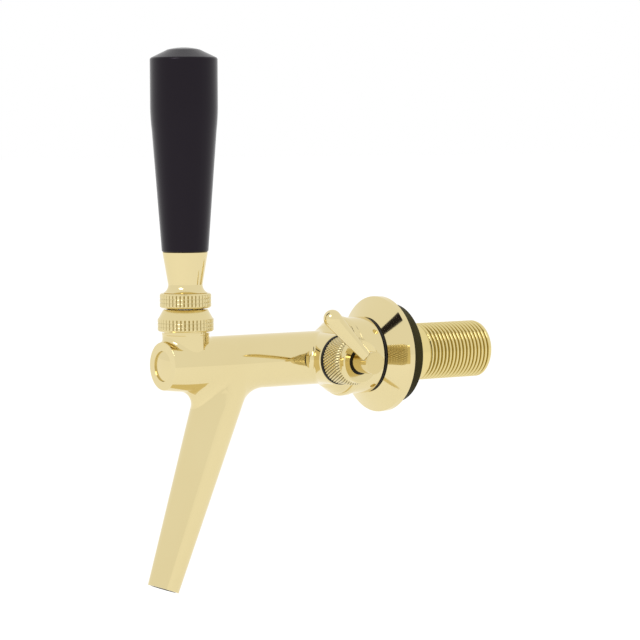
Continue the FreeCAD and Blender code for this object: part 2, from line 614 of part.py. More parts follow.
def make_valve_piston():
    """Sliding valve: slotted front land, thin waist and a grooved head with a foam hole."""
    land_r = PISTON_BORE_R - RUNNING_GAP
    head_r = PISTON_BORE_R - PISTON_HEAD_GAP
    groove_r = PISTON_BORE_R - 2 * PISTON_SEAL_SECTION_R - SEAT_GAP
    half = PISTON_SEAL_SECTION_R + SEAT_GAP
    flare = PISTON_WAIST_FLARE
    outline = [(0, PISTON_FRONT), (land_r - EDGE, PISTON_FRONT), (land_r, PISTON_FRONT + EDGE)]
    outline += [(land_r, PISTON_LAND_REAR - EDGE), (land_r - EDGE, PISTON_LAND_REAR)]
    outline += [(PISTON_WAIST_R, PISTON_LAND_REAR), (PISTON_WAIST_R, PISTON_HEAD_FRONT - flare)]
    outline += [(PISTON_WAIST_R + flare, PISTON_HEAD_FRONT), (head_r, PISTON_HEAD_FRONT)]
    for seal_y in (PISTON_FRONT_SEAL_Y, PISTON_REAR_SEAL_Y):
        outline += [(head_r, seal_y - half), (groove_r, seal_y - half)]
        outline += [(groove_r, seal_y + half), (head_r, seal_y + half)]
    outline += [(head_r, PISTON_HEAD_REAR - FINE_EDGE), (head_r - FINE_EDGE, PISTON_HEAD_REAR)]
    outline += [(0, PISTON_HEAD_REAR)]
    piston = turned(along_y(), outline)
    land_l = PISTON_LAND_REAR - PISTON_FRONT
    flat = Part.makeBox(2 * PISTON_BORE_R, land_l + 2 * OVERCUT, PISTON_BORE_R,
                        Vector(-PISTON_BORE_R, PISTON_FRONT - OVERCUT, PISTON_FLAT_Z))
    slot_w = 2 * (LEVER_TIP_R + PISTON_SLOT_GAP)
    slot = Part.makeBox(slot_w, slot_w, PISTON_SLOT_DEPTH + PISTON_BORE_R,
                        Vector(-slot_w / 2, HANDLE_Y - slot_w / 2, -PISTON_SLOT_DEPTH))
    hole_y = (PISTON_FRONT_SEAL_Y + PISTON_REAR_SEAL_Y) / 2
    foam_hole = Part.makeCylinder(FOAM_HOLE_R, PISTON_BORE_R, Vector(0, hole_y, 0),
                                  Vector(0, 0, -1))
    feed_l = PISTON_HEAD_REAR - hole_y + FOAM_FEED_R
    foam_feed = Part.makeCylinder(FOAM_FEED_R, feed_l, Vector(0, PISTON_HEAD_REAR, 0),
                                  Vector(0, -1, 0))
    return piston.cut(flat).cut(slot).cut(foam_hole).cut(foam_feed)


def make_piston_seal(height):
    """Round ring in one of the piston head's grooves."""
    centre = PISTON_BORE_R - PISTON_SEAL_SECTION_R - SEAL_GAP
    return seal_ring(along_y(), centre, PISTON_SEAL_SECTION_R, height)


def make_lever():
    """Turned lever: foot with a round tip, ball, swinging neck and the threaded stud."""
    joint_low = BALL_Z - math.sqrt(BALL_R ** 2 - LEVER_FOOT_R ** 2)
    joint_high = BALL_Z + math.sqrt(BALL_R ** 2 - LEVER_NECK_R ** 2)
    tip_top = math.sqrt(LEVER_TIP_R ** 2 - LEVER_FOOT_R ** 2)
    mouth_reach = math.hypot(swing_reach(BONNET_TOP), BONNET_TOP - BALL_Z)
    shoulder_z = BALL_Z + mouth_reach + SWING_GAP
    outline = [(0, -LEVER_TIP_R), (LEVER_FOOT_R, tip_top, LEVER_TIP_R, 0)]
    outline += [(LEVER_FOOT_R, joint_low), (LEVER_NECK_R, joint_high, BALL_R, BALL_Z)]
    outline += [(LEVER_NECK_R, shoulder_z), (LEVER_STUD_R, shoulder_z + LEVER_STUD_LEAD)]
    outline += [(LEVER_STUD_R, LEVER_STUD_TOP - EDGE), (LEVER_STUD_R - EDGE, LEVER_STUD_TOP)]
    outline += [(0, LEVER_STUD_TOP)]
    return turned(along_z(HANDLE_Y), outline)


def make_ball_seal():
    """Round ring under the ball, on the floor of the neck's bore."""
    return seal_ring(along_z(HANDLE_Y), BALL_SEAL_CENTRE_R, BALL_SEAL_SECTION_R, BALL_SEAL_Z)


def make_friction_ring():
    """Plastic ring that the bonnet presses on the ball."""
    hollow = BALL_R + RUNNING_GAP
    inner_r = BALL_R - FRICTION_RING_COVER
    low = FRICTION_RING_RISE
    high = math.sqrt(hollow ** 2 - inner_r ** 2)
    middle = (low + high) / 2
    top = BONNET_SHOULDER_Z - SEAT_GAP
    outer = NECK_BORE_R - SEAT_GAP
    outline = [(math.sqrt(hollow ** 2 - low ** 2), BALL_Z + low)]
    outline += [(inner_r, BALL_Z + high, math.sqrt(hollow ** 2 - middle ** 2), BALL_Z + middle)]
    outline += [(inner_r, top), (outer, top), (outer, BALL_Z + low)]
    return turned(along_z(HANDLE_Y), outline)


def make_bonnet():
    """Knurled collar over the ball joint, its cone open for the swinging lever."""
    thread_r = NECK_THREAD_R + THREAD_GAP
    over_ball = math.sqrt((BALL_R + FACE_GAP) ** 2 - (BONNET_SHOULDER_Z - BALL_Z) ** 2)
    mouth_low_r = max(over_ball, swing_reach(BONNET_SHOULDER_Z))
    outline = [(thread_r, BONNET_LOW), (BONNET_R - EDGE, BONNET_LOW), (BONNET_R, BONNET_LOW + EDGE)]
    outline += [(BONNET_R, BONNET_KNURL_HIGH - EDGE), (BONNET_R - EDGE, BONNET_KNURL_HIGH)]
    outline += [(BONNET_TOP_R, BONNET_TOP - FINE_EDGE), (BONNET_TOP_R - FINE_EDGE, BONNET_TOP)]
    outline += [(swing_reach(BONNET_TOP), BONNET_TOP), (mouth_low_r, BONNET_SHOULDER_Z)]
    outline += [(thread_r, BONNET_SHOULDER_Z)]
    return turned(along_z(HANDLE_Y), outline)


def make_lock_ring():
    """Knurled ring on the stud, hollowed underneath so that it clears the bonnet."""
    reach = math.hypot(BONNET_TOP_R, BONNET_TOP - BALL_Z)
    lower = math.hypot(BONNET_R, BONNET_KNURL_HIGH - BALL_Z)
    hollow = max(reach, lower) + SWING_GAP
    thread_r = LEVER_STUD_R + THREAD_GAP
    rim_r = math.sqrt(hollow ** 2 - (LOCK_RING_LOW - BALL_Z) ** 2)
    eye_z = BALL_Z + math.sqrt(hollow ** 2 - thread_r ** 2)
    middle_r = (rim_r + thread_r) / 2
    middle_z = BALL_Z + math.sqrt(hollow ** 2 - middle_r ** 2)
    edge = LOCK_RING_EDGE
    outline = [(rim_r, LOCK_RING_LOW), (LOCK_RING_R - edge, LOCK_RING_LOW)]
    outline += [(LOCK_RING_R, LOCK_RING_LOW + edge), (LOCK_RING_R, LOCK_RING_HIGH - edge)]
    outline += [(LOCK_RING_R - edge, LOCK_RING_HIGH), (thread_r, LOCK_RING_HIGH), (thread_r, eye_z)]
    outline += [(rim_r, LOCK_RING_LOW, middle_r, middle_z)]
    return turned(along_z(HANDLE_Y), outline)


def make_ferrule():
    """Waisted metal sleeve between the lock ring and the grip."""
    hole_r = LEVER_STUD_R + THREAD_GAP
    low = LOCK_RING_HIGH
    outline = [(hole_r, low), (FERRULE_FOOT_R - FINE_EDGE, low), (FERRULE_FOOT_R, low + FINE_EDGE)]
    outline += [(FERRULE_WAIST_R, low + FERRULE_WAIST_AT, FERRULE_COVE_R, low + FERRULE_COVE_AT)]
    outline += [(FERRULE_TOP_R, FERRULE_TOP - FINE_EDGE), (FERRULE_TOP_R - FINE_EDGE, FERRULE_TOP)]
    outline += [(hole_r, FERRULE_TOP)]
    return turned(along_z(HANDLE_Y), outline)


def make_handle_insert():
    """Threaded metal bush moulded into the grip."""
    hole_r = LEVER_STUD_R + THREAD_GAP
    return tube(along_z(HANDLE_Y), hole_r, INSERT_R, FERRULE_TOP, INSERT_TOP, FINE_EDGE)


def make_grip():
    """Moulded black grip: a long taper, a short cylinder and a bevelled crown."""
    socket_r = INSERT_R + SEAT_GAP
    socket_top = INSERT_TOP + SEAT_GAP
    foot = FERRULE_TOP
    foot_inner = (GRIP_FOOT_R - GRIP_FOOT_ROUND, foot)
    foot_outer = (GRIP_FOOT_R, foot + GRIP_FOOT_ROUND)
    taper_top = (GRIP_TAPER_TOP_R, foot + GRIP_TAPER_L)
    cylinder_low = (GRIP_R, taper_top[1] + GRIP_SWELL_L)
    shoulder = (GRIP_R, cylinder_low[1] + GRIP_CYLINDER_L)
    facet_low = (GRIP_FACET_LOW_R, shoulder[1] + GRIP_BEVEL_ROUND)
    facet_high = (GRIP_FACET_HIGH_R, facet_low[1] + GRIP_FACET_H)
    crown_z = facet_high[1] + GRIP_CROWN_H
    crown = cap_middle(facet_high[0], facet_high[1], crown_z)
    outline = [(socket_r, foot), foot_inner, bulged(foot_inner, foot_outer, 0.2), taper_top]
    outline += [bulged(taper_top, cylinder_low, 0.016), shoulder]
    outline += [bulged(shoulder, facet_low, 0.12), facet_high]
    outline += [(0, crown_z, crown[0], crown[1]), (0, socket_top), (socket_r, socket_top)]
    return turned(along_z(HANDLE_Y), outline)


def make_compensator():
    """Cone that throttles the beer, with a slot for the eccentric pin and a finned tail."""
    slope = (SEAT_CONE_REAR_R - CHAMBER_R) / SEAT_CONE_L
    nose = PISTON_HEAD_REAR + piston_travel() + ECCENTRICITY + SWING_GAP
    brow = nose + CONE_NOSE_ROUND
    shoulder = FLOW_Y - CONE_SHOULDER_FROM_FLOW
    brow_r = CHAMBER_R - CONE_GAP + slope * max(brow - SEAT_CONE_FRONT, 0)
    shoulder_r = CHAMBER_R - CONE_GAP + slope * (shoulder - SEAT_CONE_FRONT)
    slot_half = PIN_R + CONE_SLOT_GAP
    slot_front = FLOW_Y - slot_half
    slot_rear = FLOW_Y + slot_half
    flange_r = REAR_BORE_R - CONE_FLANGE_GAP
    flange_rear = slot_rear + CONE_FLANGE_T
    tail = FLOW_Y + CONE_TAIL_L
    outline = [(0, nose), (CONE_NOSE_R, nose), (brow_r, brow), (shoulder_r, shoulder)]
    outline += [(shoulder_r, slot_front), (CONE_CORE_R, slot_front), (CONE_CORE_R, slot_rear)]
    outline += [(flange_r, slot_rear), (flange_r, flange_rear), (CONE_CORE_R, flange_rear)]
    outline += [(CONE_CORE_R, tail - 2 * EDGE), (CONE_CORE_R - 2 * EDGE, tail), (0, tail)]
    cone = turned(along_y(), outline)
    sleeve = rod(along_y(), REAR_BORE_R - RUNNING_GAP, flange_rear, tail)
    for index in range(CONE_FIN_COUNT):
        fin = Part.makeBox(REAR_BORE_R, tail - flange_rear, CONE_FIN_T,
                           Vector(0, flange_rear, -CONE_FIN_T / 2))
        fin.rotate(Vector(0, 0, 0), Vector(0, 1, 0), (index + 0.5) * 360 / CONE_FIN_COUNT)
        cone = cone.fuse(fin.common(sleeve))
    return cone.removeSplitter()


def make_flow_stem():
    """Stem of the flow control with two seal grooves, a collar and a hole for its lever."""
    half = STEM_SEAL_SECTION_R + SEAT_GAP
    groove_r = STEM_R - 2 * STEM_SEAL_SECTION_R - SEAT_GAP
    collar_r = STEM_R + STEM_COLLAR_W
    outline = [(0, STEM_INNER_END), (STEM_R - EDGE, STEM_INNER_END), (STEM_R, STEM_INNER_END + EDGE)]
    for seal_x in STEM_SEAL_X:
        outline += [(STEM_R, seal_x - half), (groove_r, seal_x - half)]
        outline += [(groove_r, seal_x + half), (STEM_R, seal_x + half)]
    outline += [(STEM_R, STEM_COLLAR_LOW), (collar_r, STEM_COLLAR_LOW)]
    outline += [(collar_r, STEM_COLLAR_HIGH), (STEM_R, STEM_COLLAR_HIGH)]
    outline += [(STEM_R, STEM_OUTER_END - EDGE), (STEM_R - EDGE, STEM_OUTER_END)]
    outline += [(0, STEM_OUTER_END)]
    stem = turned(along_x(), outline)
    lever_hole = rod(along_flow_lever(), FLOW_LEVER_SPIGOT_R + SEAT_GAP,
                     -FLOW_LEVER_SPIGOT_L - SEAT_GAP, STEM_R + OVERCUT)
    pin_hole = Part.makeCylinder(PIN_R + SEAT_GAP, PIN_SEAT + OVERCUT + SEAT_GAP,
                                 Vector(STEM_INNER_END - OVERCUT, FLOW_Y, ECCENTRICITY),
                                 Vector(1, 0, 0))
    return stem.cut(lever_hole).cut(pin_hole)


def make_eccentric_pin():
    """Pin pressed off centre into the stem's inner end."""
    tip_x = STEM_INNER_END - PIN_PROUD
    start = Vector(tip_x, FLOW_Y, ECCENTRICITY)
    pin = Part.makeCylinder(PIN_R, PIN_PROUD + PIN_SEAT, start, Vector(1, 0, 0))
    return pin.makeChamfer(PIN_EDGE, edges_where(pin, lambda point: near(point.x, tip_x)))


def make_stem_seal(height):
    """Round ring in one of the stem's grooves."""
    centre = STEM_R + RUNNING_GAP - STEM_SEAL_SECTION_R - SEAL_GAP
    return seal_ring(along_x(), centre, STEM_SEAL_SECTION_R, height)


def make_gland_gasket():
    """Black ring between the boss and the knurled nut."""
    inner = GLAND_SPIGOT_R + THREAD_GAP
    return tube(along_x(), inner, GLAND_GASKET_R, BOSS_TOP, GLAND_LOW, FINE_EDGE)


def make_gland_nut():
    """Knurled nut with a stepped nose and a dished end around the stem."""
    thread_r = GLAND_SPIGOT_R + THREAD_GAP
    inner_r = STEM_R + RUNNING_GAP
    ring_r = inner_r + DUST_RING_W
    floor = THRUST_WASHER_LOW + THRUST_WASHER_T + RUNNING_GAP
    outline = [(thread_r, GLAND_LOW), (GLAND_NUT_R - EDGE, GLAND_LOW)]
    outline += [(GLAND_NUT_R, GLAND_LOW + EDGE), (GLAND_NUT_R, GLAND_KNURL_TOP)]
    outline += [(GLAND_STEP_R, GLAND_STEP_X), (GLAND_STEP_R, GLAND_TOP - EDGE)]
    outline += [(GLAND_RIM_R, GLAND_TOP), (ring_r, GLAND_DISH_X), (ring_r, DUST_RING_FLOOR)]
    outline += [(inner_r, DUST_RING_FLOOR), (inner_r, floor), (thread_r, floor)]
    return turned(along_x(), outline)


def make_thrust_washer():
    """Slippery washer between the stem's collar and the nut."""
    outer = GLAND_SPIGOT_R + THREAD_GAP - THRUST_WASHER_GAP
    return tube(along_x(), STEM_R + RUNNING_GAP, outer, THRUST_WASHER_LOW,
                THRUST_WASHER_LOW + THRUST_WASHER_T)


def make_dust_ring():
    """Black ring that wipes the stem in the nut's dished end."""
    inner = STEM_R + RUNNING_GAP
    return tube(along_x(), inner, inner + DUST_RING_W - SEAT_GAP, DUST_RING_FLOOR,
                DUST_RING_FLOOR + DUST_RING_T, FINE_EDGE)


def make_flow_lever():
    """Club-shaped lever set across the stem."""
    head_r = FLOW_LEVER_HEAD_R
    spigot_r = FLOW_LEVER_SPIGOT_R
    start = math.sqrt(STEM_R ** 2 - FLOW_LEVER_ROOT_R ** 2)
    neck = (head_r - FLOW_LEVER_NECK_STEP, FLOW_LEVER_L - FLOW_LEVER_NECK_L)
    dome_top = FLOW_LEVER_L + FLOW_LEVER_DOME_H
    dome = cap_middle(head_r, FLOW_LEVER_L, dome_top)
    outline = [(0, 0), (spigot_r, 0), (spigot_r, start), (FLOW_LEVER_ROOT_R, start), neck]
    outline += [bulged(neck, (head_r, FLOW_LEVER_L), 0.02), (0, dome_top, dome[0], dome[1])]
    blank = turned(along_flow_lever(), outline)
    round_stem = rod(along_x(), STEM_R + SEAT_GAP, GLAND_TOP, STEM_OUTER_END + OVERCUT)
    spigot = rod(along_flow_lever(), spigot_r, -FLOW_LEVER_SPIGOT_L, STEM_R + OVERCUT)
    return blank.cut(round_stem).fuse(spigot).removeSplitter()


def make_coupling_ring():
    """Union ring with spanner holes, screwed on the body and gripping the shank's collar."""
    front = RIM_REAR + FACE_GAP
    rear = COUPLING_REAR
    lip_r = SHANK_THREAD_R + SWING_GAP
    lip_front = rear - COUPLING_LIP_T
    chamfer = COUPLING_REAR_CHAMFER
    outline = [(COUPLING_THREAD_R, front), (COUPLING_R - FINE_EDGE, front)]
    outline += [(COUPLING_R, front + FINE_EDGE), (COUPLING_R, rear - chamfer)]
    outline += [(COUPLING_R - chamfer, rear), (lip_r, rear), (lip_r, lip_front)]
    outline += [(COUPLING_THREAD_R, lip_front)]
    ring = turned(along_y(), outline)
    for index in range(SPANNER_HOLE_COUNT):
        angle = math.radians(SPANNER_HOLE_ANGLE + index * 360 / SPANNER_HOLE_COUNT)
        outward = Vector(math.cos(angle), 0, math.sin(angle))
        start = outward * (COUPLING_R - SPANNER_HOLE_DEPTH)
        start.y = rear - SPANNER_HOLE_FROM_REAR
        hole = Part.makeCylinder(SPANNER_HOLE_R, SPANNER_HOLE_DEPTH + OVERCUT, start, outward)
        ring = ring.cut(hole)
    return ring


def make_shank_gasket():
    """Flat ring that seals the shank's collar to the body."""
    return tube(along_y(), REAR_BORE_R, SHANK_COLLAR_R, UNION_FACE, UNION_FACE + SHANK_GASKET_T)


def make_shank():
    """Threaded pipe that passes through the wall, with a collar at its front end."""
    front = UNION_FACE + SHANK_GASKET_T
    collar_rear = front + SHANK_COLLAR_T
    rear = SHANK_REACH
    chamfer = SHANK_END_CHAMFER
    outline = [(SHANK_MOUTH_R, front), (SHANK_COLLAR_R, front), (SHANK_COLLAR_R, collar_rear)]
    outline += [(SHANK_PLAIN_R, collar_rear), (SHANK_PLAIN_R, 0), (SHANK_THREAD_R, 0)]
    outline += [(SHANK_THREAD_R, rear - chamfer), (SHANK_THREAD_R - chamfer, rear)]
    outline += [(SHANK_BORE_R + EDGE, rear), (SHANK_BORE_R, rear - EDGE)]
    outline += [(SHANK_BORE_R, front + SHANK_MOUTH_STEP)]
    return turned(along_y(), outline)


def make_escutcheon_gasket():
    """Thin black ring between the coupling ring and the escutcheon."""
    front = ESCUTCHEON_FRONT - ESCUTCHEON_GASKET_T
    return tube(along_y(), ESCUTCHEON_HOLE_R, ESCUTCHEON_GASKET_R, front, ESCUTCHEON_FRONT,
                FINE_EDGE)


def make_escutcheon():
    """Conical wall plate, hollow behind, with a seat for the rubber washer."""
    seat = -WASHER_T
    socket_r = WASHER_R + SEAT_GAP
    inner_face = ESCUTCHEON_FRONT + ESCUTCHEON_WALL
    rim_front = ESCUTCHEON_RIM_REAR - ESCUTCHEON_RIM_T
    outline = [(ESCUTCHEON_HOLE_R, ESCUTCHEON_FRONT), (ESCUTCHEON_FRONT_R, ESCUTCHEON_FRONT)]
    outline += [(ESCUTCHEON_R, rim_front), (ESCUTCHEON_R, ESCUTCHEON_RIM_REAR - EDGE)]
    outline += [(ESCUTCHEON_R - EDGE, ESCUTCHEON_RIM_REAR), (socket_r, ESCUTCHEON_RIM_REAR)]
    outline += [(socket_r, seat), (WASHER_R - ESCUTCHEON_BACK_STEP, seat)]
    outline += [(ESCUTCHEON_HOLE_R + EDGE, inner_face), (ESCUTCHEON_HOLE_R, inner_face)]
    return turned(along_y(), outline)


def make_wall_washer():
    """Thick rubber washer between the escutcheon and the wall."""
    inner = SHANK_THREAD_R + SEAT_GAP
    return tube(along_y(), inner, WASHER_R, -WASHER_T, 0, WASHER_EDGE)


def build_all():
    """Every piece by its node name."""
    return {
        "tap_body": make_tap_body(),
        "front_plug": make_front_plug(),
        "front_plug_seal": make_front_plug_seal(),
        "valve_piston": make_valve_piston(),
        "piston_front_seal": make_piston_seal(PISTON_FRONT_SEAL_Y),
        "piston_rear_seal": make_piston_seal(PISTON_REAR_SEAL_Y),
        "lever": make_lever(),
        "ball_seal": make_ball_seal(),
        "friction_ring": make_friction_ring(),
        "knurled_bonnet": make_bonnet(),
        "lock_ring": make_lock_ring(),
        "handle_ferrule": make_ferrule(),
        "handle_insert": make_handle_insert(),
        "handle_grip": make_grip(),
        "compensator_cone": make_compensator(),
        "flow_stem": make_flow_stem(),
        "eccentric_pin": make_eccentric_pin(),
        "stem_inner_seal": make_stem_seal(STEM_SEAL_X[0]),
        "stem_outer_seal": make_stem_seal(STEM_SEAL_X[1]),
        "gland_gasket": make_gland_gasket(),
        "gland_nut": make_gland_nut(),
        "thrust_washer": make_thrust_washer(),
        "dust_ring": make_dust_ring(),
        "flow_lever": make_flow_lever(),
        "coupling_ring": make_coupling_ring(),
        "shank_gasket": make_shank_gasket(),
        "shank": make_shank(),
        "escutcheon_gasket": make_escutcheon_gasket(),
        "escutcheon": make_escutcheon(),
        "wall_washer": make_wall_washer(),
    }


for node, shape in build_all().items():
    if shape.ShapeType != "Solid" and len(shape.Solids) == 1:
        shape = shape.Solids[0]
    if not shape.isValid() or len(shape.Solids) != 1:
        raise ValueError(f"{node} is not one valid solid: {len(shape.Solids)} solids")
    shape.exportStep(os.path.join("parts", node + ".step"))
    box = shape.BoundBox
    print(f"{node}: {shape.Volume / 1000:.3f} cm3, Y {box.YMin:.2f} to {box.YMax:.2f}, "
          f"Z {box.ZMin:.2f} to {box.ZMax:.2f}")
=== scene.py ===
"""Looks of a polished gold beer tap with a flow control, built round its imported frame.

Lengths are metres. +Z is up, the front of the tap looks along -Y, the wall is at Y = 0 and the
flow control stands on the +X side. Turned pieces that carry a knurl or a thread are made here
in full, and every other piece keeps the frame's own mesh and gets its finish here.
"""

import logging
import math
from dataclasses import dataclass, field
from enum import Enum
from typing import Iterable, Sequence

import bmesh
import bpy
from mathutils import Matrix, Vector


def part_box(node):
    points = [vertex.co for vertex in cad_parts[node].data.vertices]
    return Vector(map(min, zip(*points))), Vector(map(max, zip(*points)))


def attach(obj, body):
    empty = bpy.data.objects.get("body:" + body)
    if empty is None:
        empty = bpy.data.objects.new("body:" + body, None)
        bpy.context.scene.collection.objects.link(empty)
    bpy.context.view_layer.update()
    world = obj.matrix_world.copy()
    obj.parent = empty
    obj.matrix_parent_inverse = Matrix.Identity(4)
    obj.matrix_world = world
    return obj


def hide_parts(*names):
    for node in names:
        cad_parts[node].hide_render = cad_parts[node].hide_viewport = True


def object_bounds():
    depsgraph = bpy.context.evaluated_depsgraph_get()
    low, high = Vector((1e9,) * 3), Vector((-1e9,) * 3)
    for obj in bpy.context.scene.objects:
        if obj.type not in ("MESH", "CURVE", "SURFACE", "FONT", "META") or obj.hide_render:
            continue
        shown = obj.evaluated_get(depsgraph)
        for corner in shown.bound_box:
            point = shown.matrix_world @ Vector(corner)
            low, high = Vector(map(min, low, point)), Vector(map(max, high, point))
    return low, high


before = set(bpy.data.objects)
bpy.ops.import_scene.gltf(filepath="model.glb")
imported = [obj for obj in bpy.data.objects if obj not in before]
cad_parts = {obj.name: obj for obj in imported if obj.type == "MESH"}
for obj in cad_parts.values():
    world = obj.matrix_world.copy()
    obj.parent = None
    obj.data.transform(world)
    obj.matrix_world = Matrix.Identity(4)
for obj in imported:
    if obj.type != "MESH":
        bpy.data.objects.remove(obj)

LOG = logging.getLogger("beer_tap")
MM = 0.001
CAD_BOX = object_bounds()
SHARP_ANGLE = 38.0
SUNK = "sunk"
Outline = list[tuple[float, float]]


class Slot(Enum):
    """Material slots of the record."""

    GOLD = "polished_gold"
    GRIP = "black_grip"
    RUBBER = "black_rubber"
    STEEL = "inner_steel"
    BRASS = "inner_brass"
    PLASTIC = "white_plastic"


class Body(Enum):
    """Bodies that move against each other."""

    HOUSING = "housing"
    HANDLE = "handle"
    FLOW_CONTROL = "flow_control"


class Pattern(Enum):
    """Direction of a knurl's grooves."""

    CROSS = 0.0
    DIAMOND = 1.0


@dataclass(frozen=True)
class TurningAxis:
    """Axis that a piece is turned about, with the side from which its angle is counted."""

    point: Vector
    direction: Vector
    side: Vector

    @property
    def matrix(self) -> Matrix:
        """Placement of a mesh that was turned about Z."""
        across = self.direction.cross(self.side)
        turn = Matrix((self.side, across, self.direction)).transposed().to_4x4()
        return Matrix.Translation(self.point) @ turn


def middle_of(node: str) -> Vector:
    """Middle of a frame node's box.

    Args:
        node: name of the node.

    Returns:
        The middle point in metres.
    """
    low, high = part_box(node)
    return (Vector(low) + Vector(high)) / 2


def handle_axis() -> TurningAxis:
    """Upright axis of the handle and the neck."""
    middle = middle_of("handle_grip")
    return TurningAxis(Vector((middle.x, middle.y, 0)), Vector((0, 0, 1)), Vector((1, 0, 0)))


def flow_axis() -> TurningAxis:
    """Axis of the flow control, outwards along +X."""
    middle = middle_of("gland_nut")
    return TurningAxis(Vector((0, middle.y, middle.z)), Vector((1, 0, 0)), Vector((0, 1, 0)))


def barrel_axis() -> TurningAxis:
    """Axis of the barrel and the shank, towards the wall."""
    return TurningAxis(Vector((0, 0, 0)), Vector((0, 1, 0)), Vector((0, 0, 1)))


class Graph:
    """Thin writer for a shader or geometry node tree."""

    def __init__(self, tree: bpy.types.NodeTree) -> None:
        """Keeps the tree that the nodes go to."""
        self.tree = tree

    def add(self, kind: str, links: dict | None = None, **settings) -> bpy.types.Node:
        """Adds a node.

        Args:
            kind: Blender's name of the node type.
            links: input socket names or places, each with a socket or a plain value.
            settings: attributes of the node.

        Returns:
            The new node.
        """
        node = self.tree.nodes.new(kind)
        for name, value in settings.items():
            setattr(node, name, value)
        for key, value in (links or {}).items():
            self.feed(node.inputs[key], value)
        return node

    def feed(self, socket: bpy.types.NodeSocket, value) -> None:
        """Links a socket to an output, or sets its plain value."""
        if isinstance(value, bpy.types.NodeSocket):
            self.tree.links.new(value, socket)
        else:
            socket.default_value = value

    def math(self, operation: str, first, second=0.0, third=0.0, clamp: bool = False):
        """Scalar arithmetic.

        Args:
            operation: name of the operation.
            first: first operand, a socket or a number.
            second: second operand.
            third: third operand.
            clamp: True to keep the result between 0 and 1.

        Returns:
            The result's socket.
        """
        links = {0: first, 1: second, 2: third}
        return self.add("ShaderNodeMath", links, operation=operation, use_clamp=clamp).outputs[0]

    def vector_math(self, operation: str, first, second=(0.0, 0.0, 0.0)) -> bpy.types.Node:
        """Vector arithmetic, given back as the node because its outputs differ."""
        return self.add("ShaderNodeVectorMath", {0: first, 1: second}, operation=operation)

    def scaled(self, vector, factor):
        """A vector times a number, as a socket."""
        node = self.add("ShaderNodeVectorMath", {0: vector}, operation="SCALE")
        self.feed(node.inputs["Scale"], factor)
        return node.outputs[0]


class GroovePattern:
    """Geometry tree that sinks a pattern into the outside of a turned blank.

    A subclass says how deep each place lies, from its turn round the axis and its height.
    """

    name = "groove_pattern"
    numbers: Sequence[str] = ("Low", "High", "Fade", "Wall", "Turns", "Pitch", "Depth", "Slant",
                              "Cross")

    def __init__(self) -> None:
        """Makes the tree with its named inputs."""
        self.tree = bpy.data.node_groups.new(self.name, "GeometryNodeTree")
        face = self.tree.interface
        face.new_socket("Geometry", in_out="OUTPUT", socket_type="NodeSocketGeometry")
        face.new_socket("Geometry", in_out="INPUT", socket_type="NodeSocketGeometry")
        for label in ("Axis Point", "Axis", "Side"):
            face.new_socket(label, in_out="INPUT", socket_type="NodeSocketVector")
        for label in self.numbers:
            face.new_socket(label, in_out="INPUT", socket_type="NodeSocketFloat")
        face.new_socket("Finish", in_out="INPUT", socket_type="NodeSocketMaterial")
        self.fill()

    def sunk_share(self, graph: Graph, given: bpy.types.Node, turn, height):
        """Share of the depth at each place. Overridden for each kind of pattern."""
        raise NotImplementedError

    def fill(self) -> None:
        """Writes the nodes between the group's input and output."""
        graph = Graph(self.tree)
        given = graph.add("NodeGroupInput")
        place = graph.add("GeometryNodeInputPosition").outputs[0]
        away = graph.vector_math("SUBTRACT", place, given.outputs["Axis Point"]).outputs[0]
        axis = given.outputs["Axis"]
        height = graph.vector_math("DOT_PRODUCT", away, axis).outputs["Value"]
        radial = graph.vector_math("SUBTRACT", away, graph.scaled(axis, height)).outputs[0]
        radius = graph.vector_math("LENGTH", radial).outputs["Value"]
        outward = graph.vector_math("NORMALIZE", radial).outputs[0]
        across = graph.vector_math("CROSS_PRODUCT", axis, given.outputs["Side"]).outputs[0]
        along_side = graph.vector_math("DOT_PRODUCT", radial, given.outputs["Side"])
        along_across = graph.vector_math("DOT_PRODUCT", radial, across)
        angle = graph.math("ARCTAN2", along_across.outputs["Value"], along_side.outputs["Value"])
        turn = graph.math("DIVIDE", angle, 2 * math.pi)
        share = graph.math("MULTIPLY", self.sunk_share(graph, given, turn, height),
                           self.band(graph, given, height, radius))
        depth = graph.math("MULTIPLY", share, given.outputs["Depth"])
        offset = graph.scaled(outward, graph.math("MULTIPLY", depth, -1.0))
        # The depth share is kept on the mesh so that the groove finishes can paint shade into the
        # grooves.
        marked = graph.add("GeometryNodeStoreNamedAttribute",
                           {"Geometry": given.outputs["Geometry"], "Name": SUNK, "Value": share},
                           data_type="FLOAT", domain="POINT")
        moved = graph.add("GeometryNodeSetPosition", {"Geometry": marked.outputs[0],
                                                      "Offset": offset})
        real = graph.add("GeometryNodeRealizeInstances", {0: moved.outputs[0]})
        dressed = graph.add("GeometryNodeSetMaterial", {"Geometry": real.outputs[0],
                                                        "Material": given.outputs["Finish"]})
        graph.add("NodeGroupOutput", {0: dressed.outputs[0]})

    def band(self, graph: Graph, given: bpy.types.Node, height, radius):
        """1 on the outside between the low and high ends, fading to 0 over the fade length."""
        above = graph.math("SUBTRACT", height, given.outputs["Low"])
        below = graph.math("SUBTRACT", given.outputs["High"], height)
        near_end = graph.math("MINIMUM", above, below)
        share = graph.math("DIVIDE", near_end, given.outputs["Fade"], clamp=True)
        outside = graph.math("GREATER_THAN", radius, given.outputs["Wall"])
        return graph.math("MULTIPLY", share, outside)


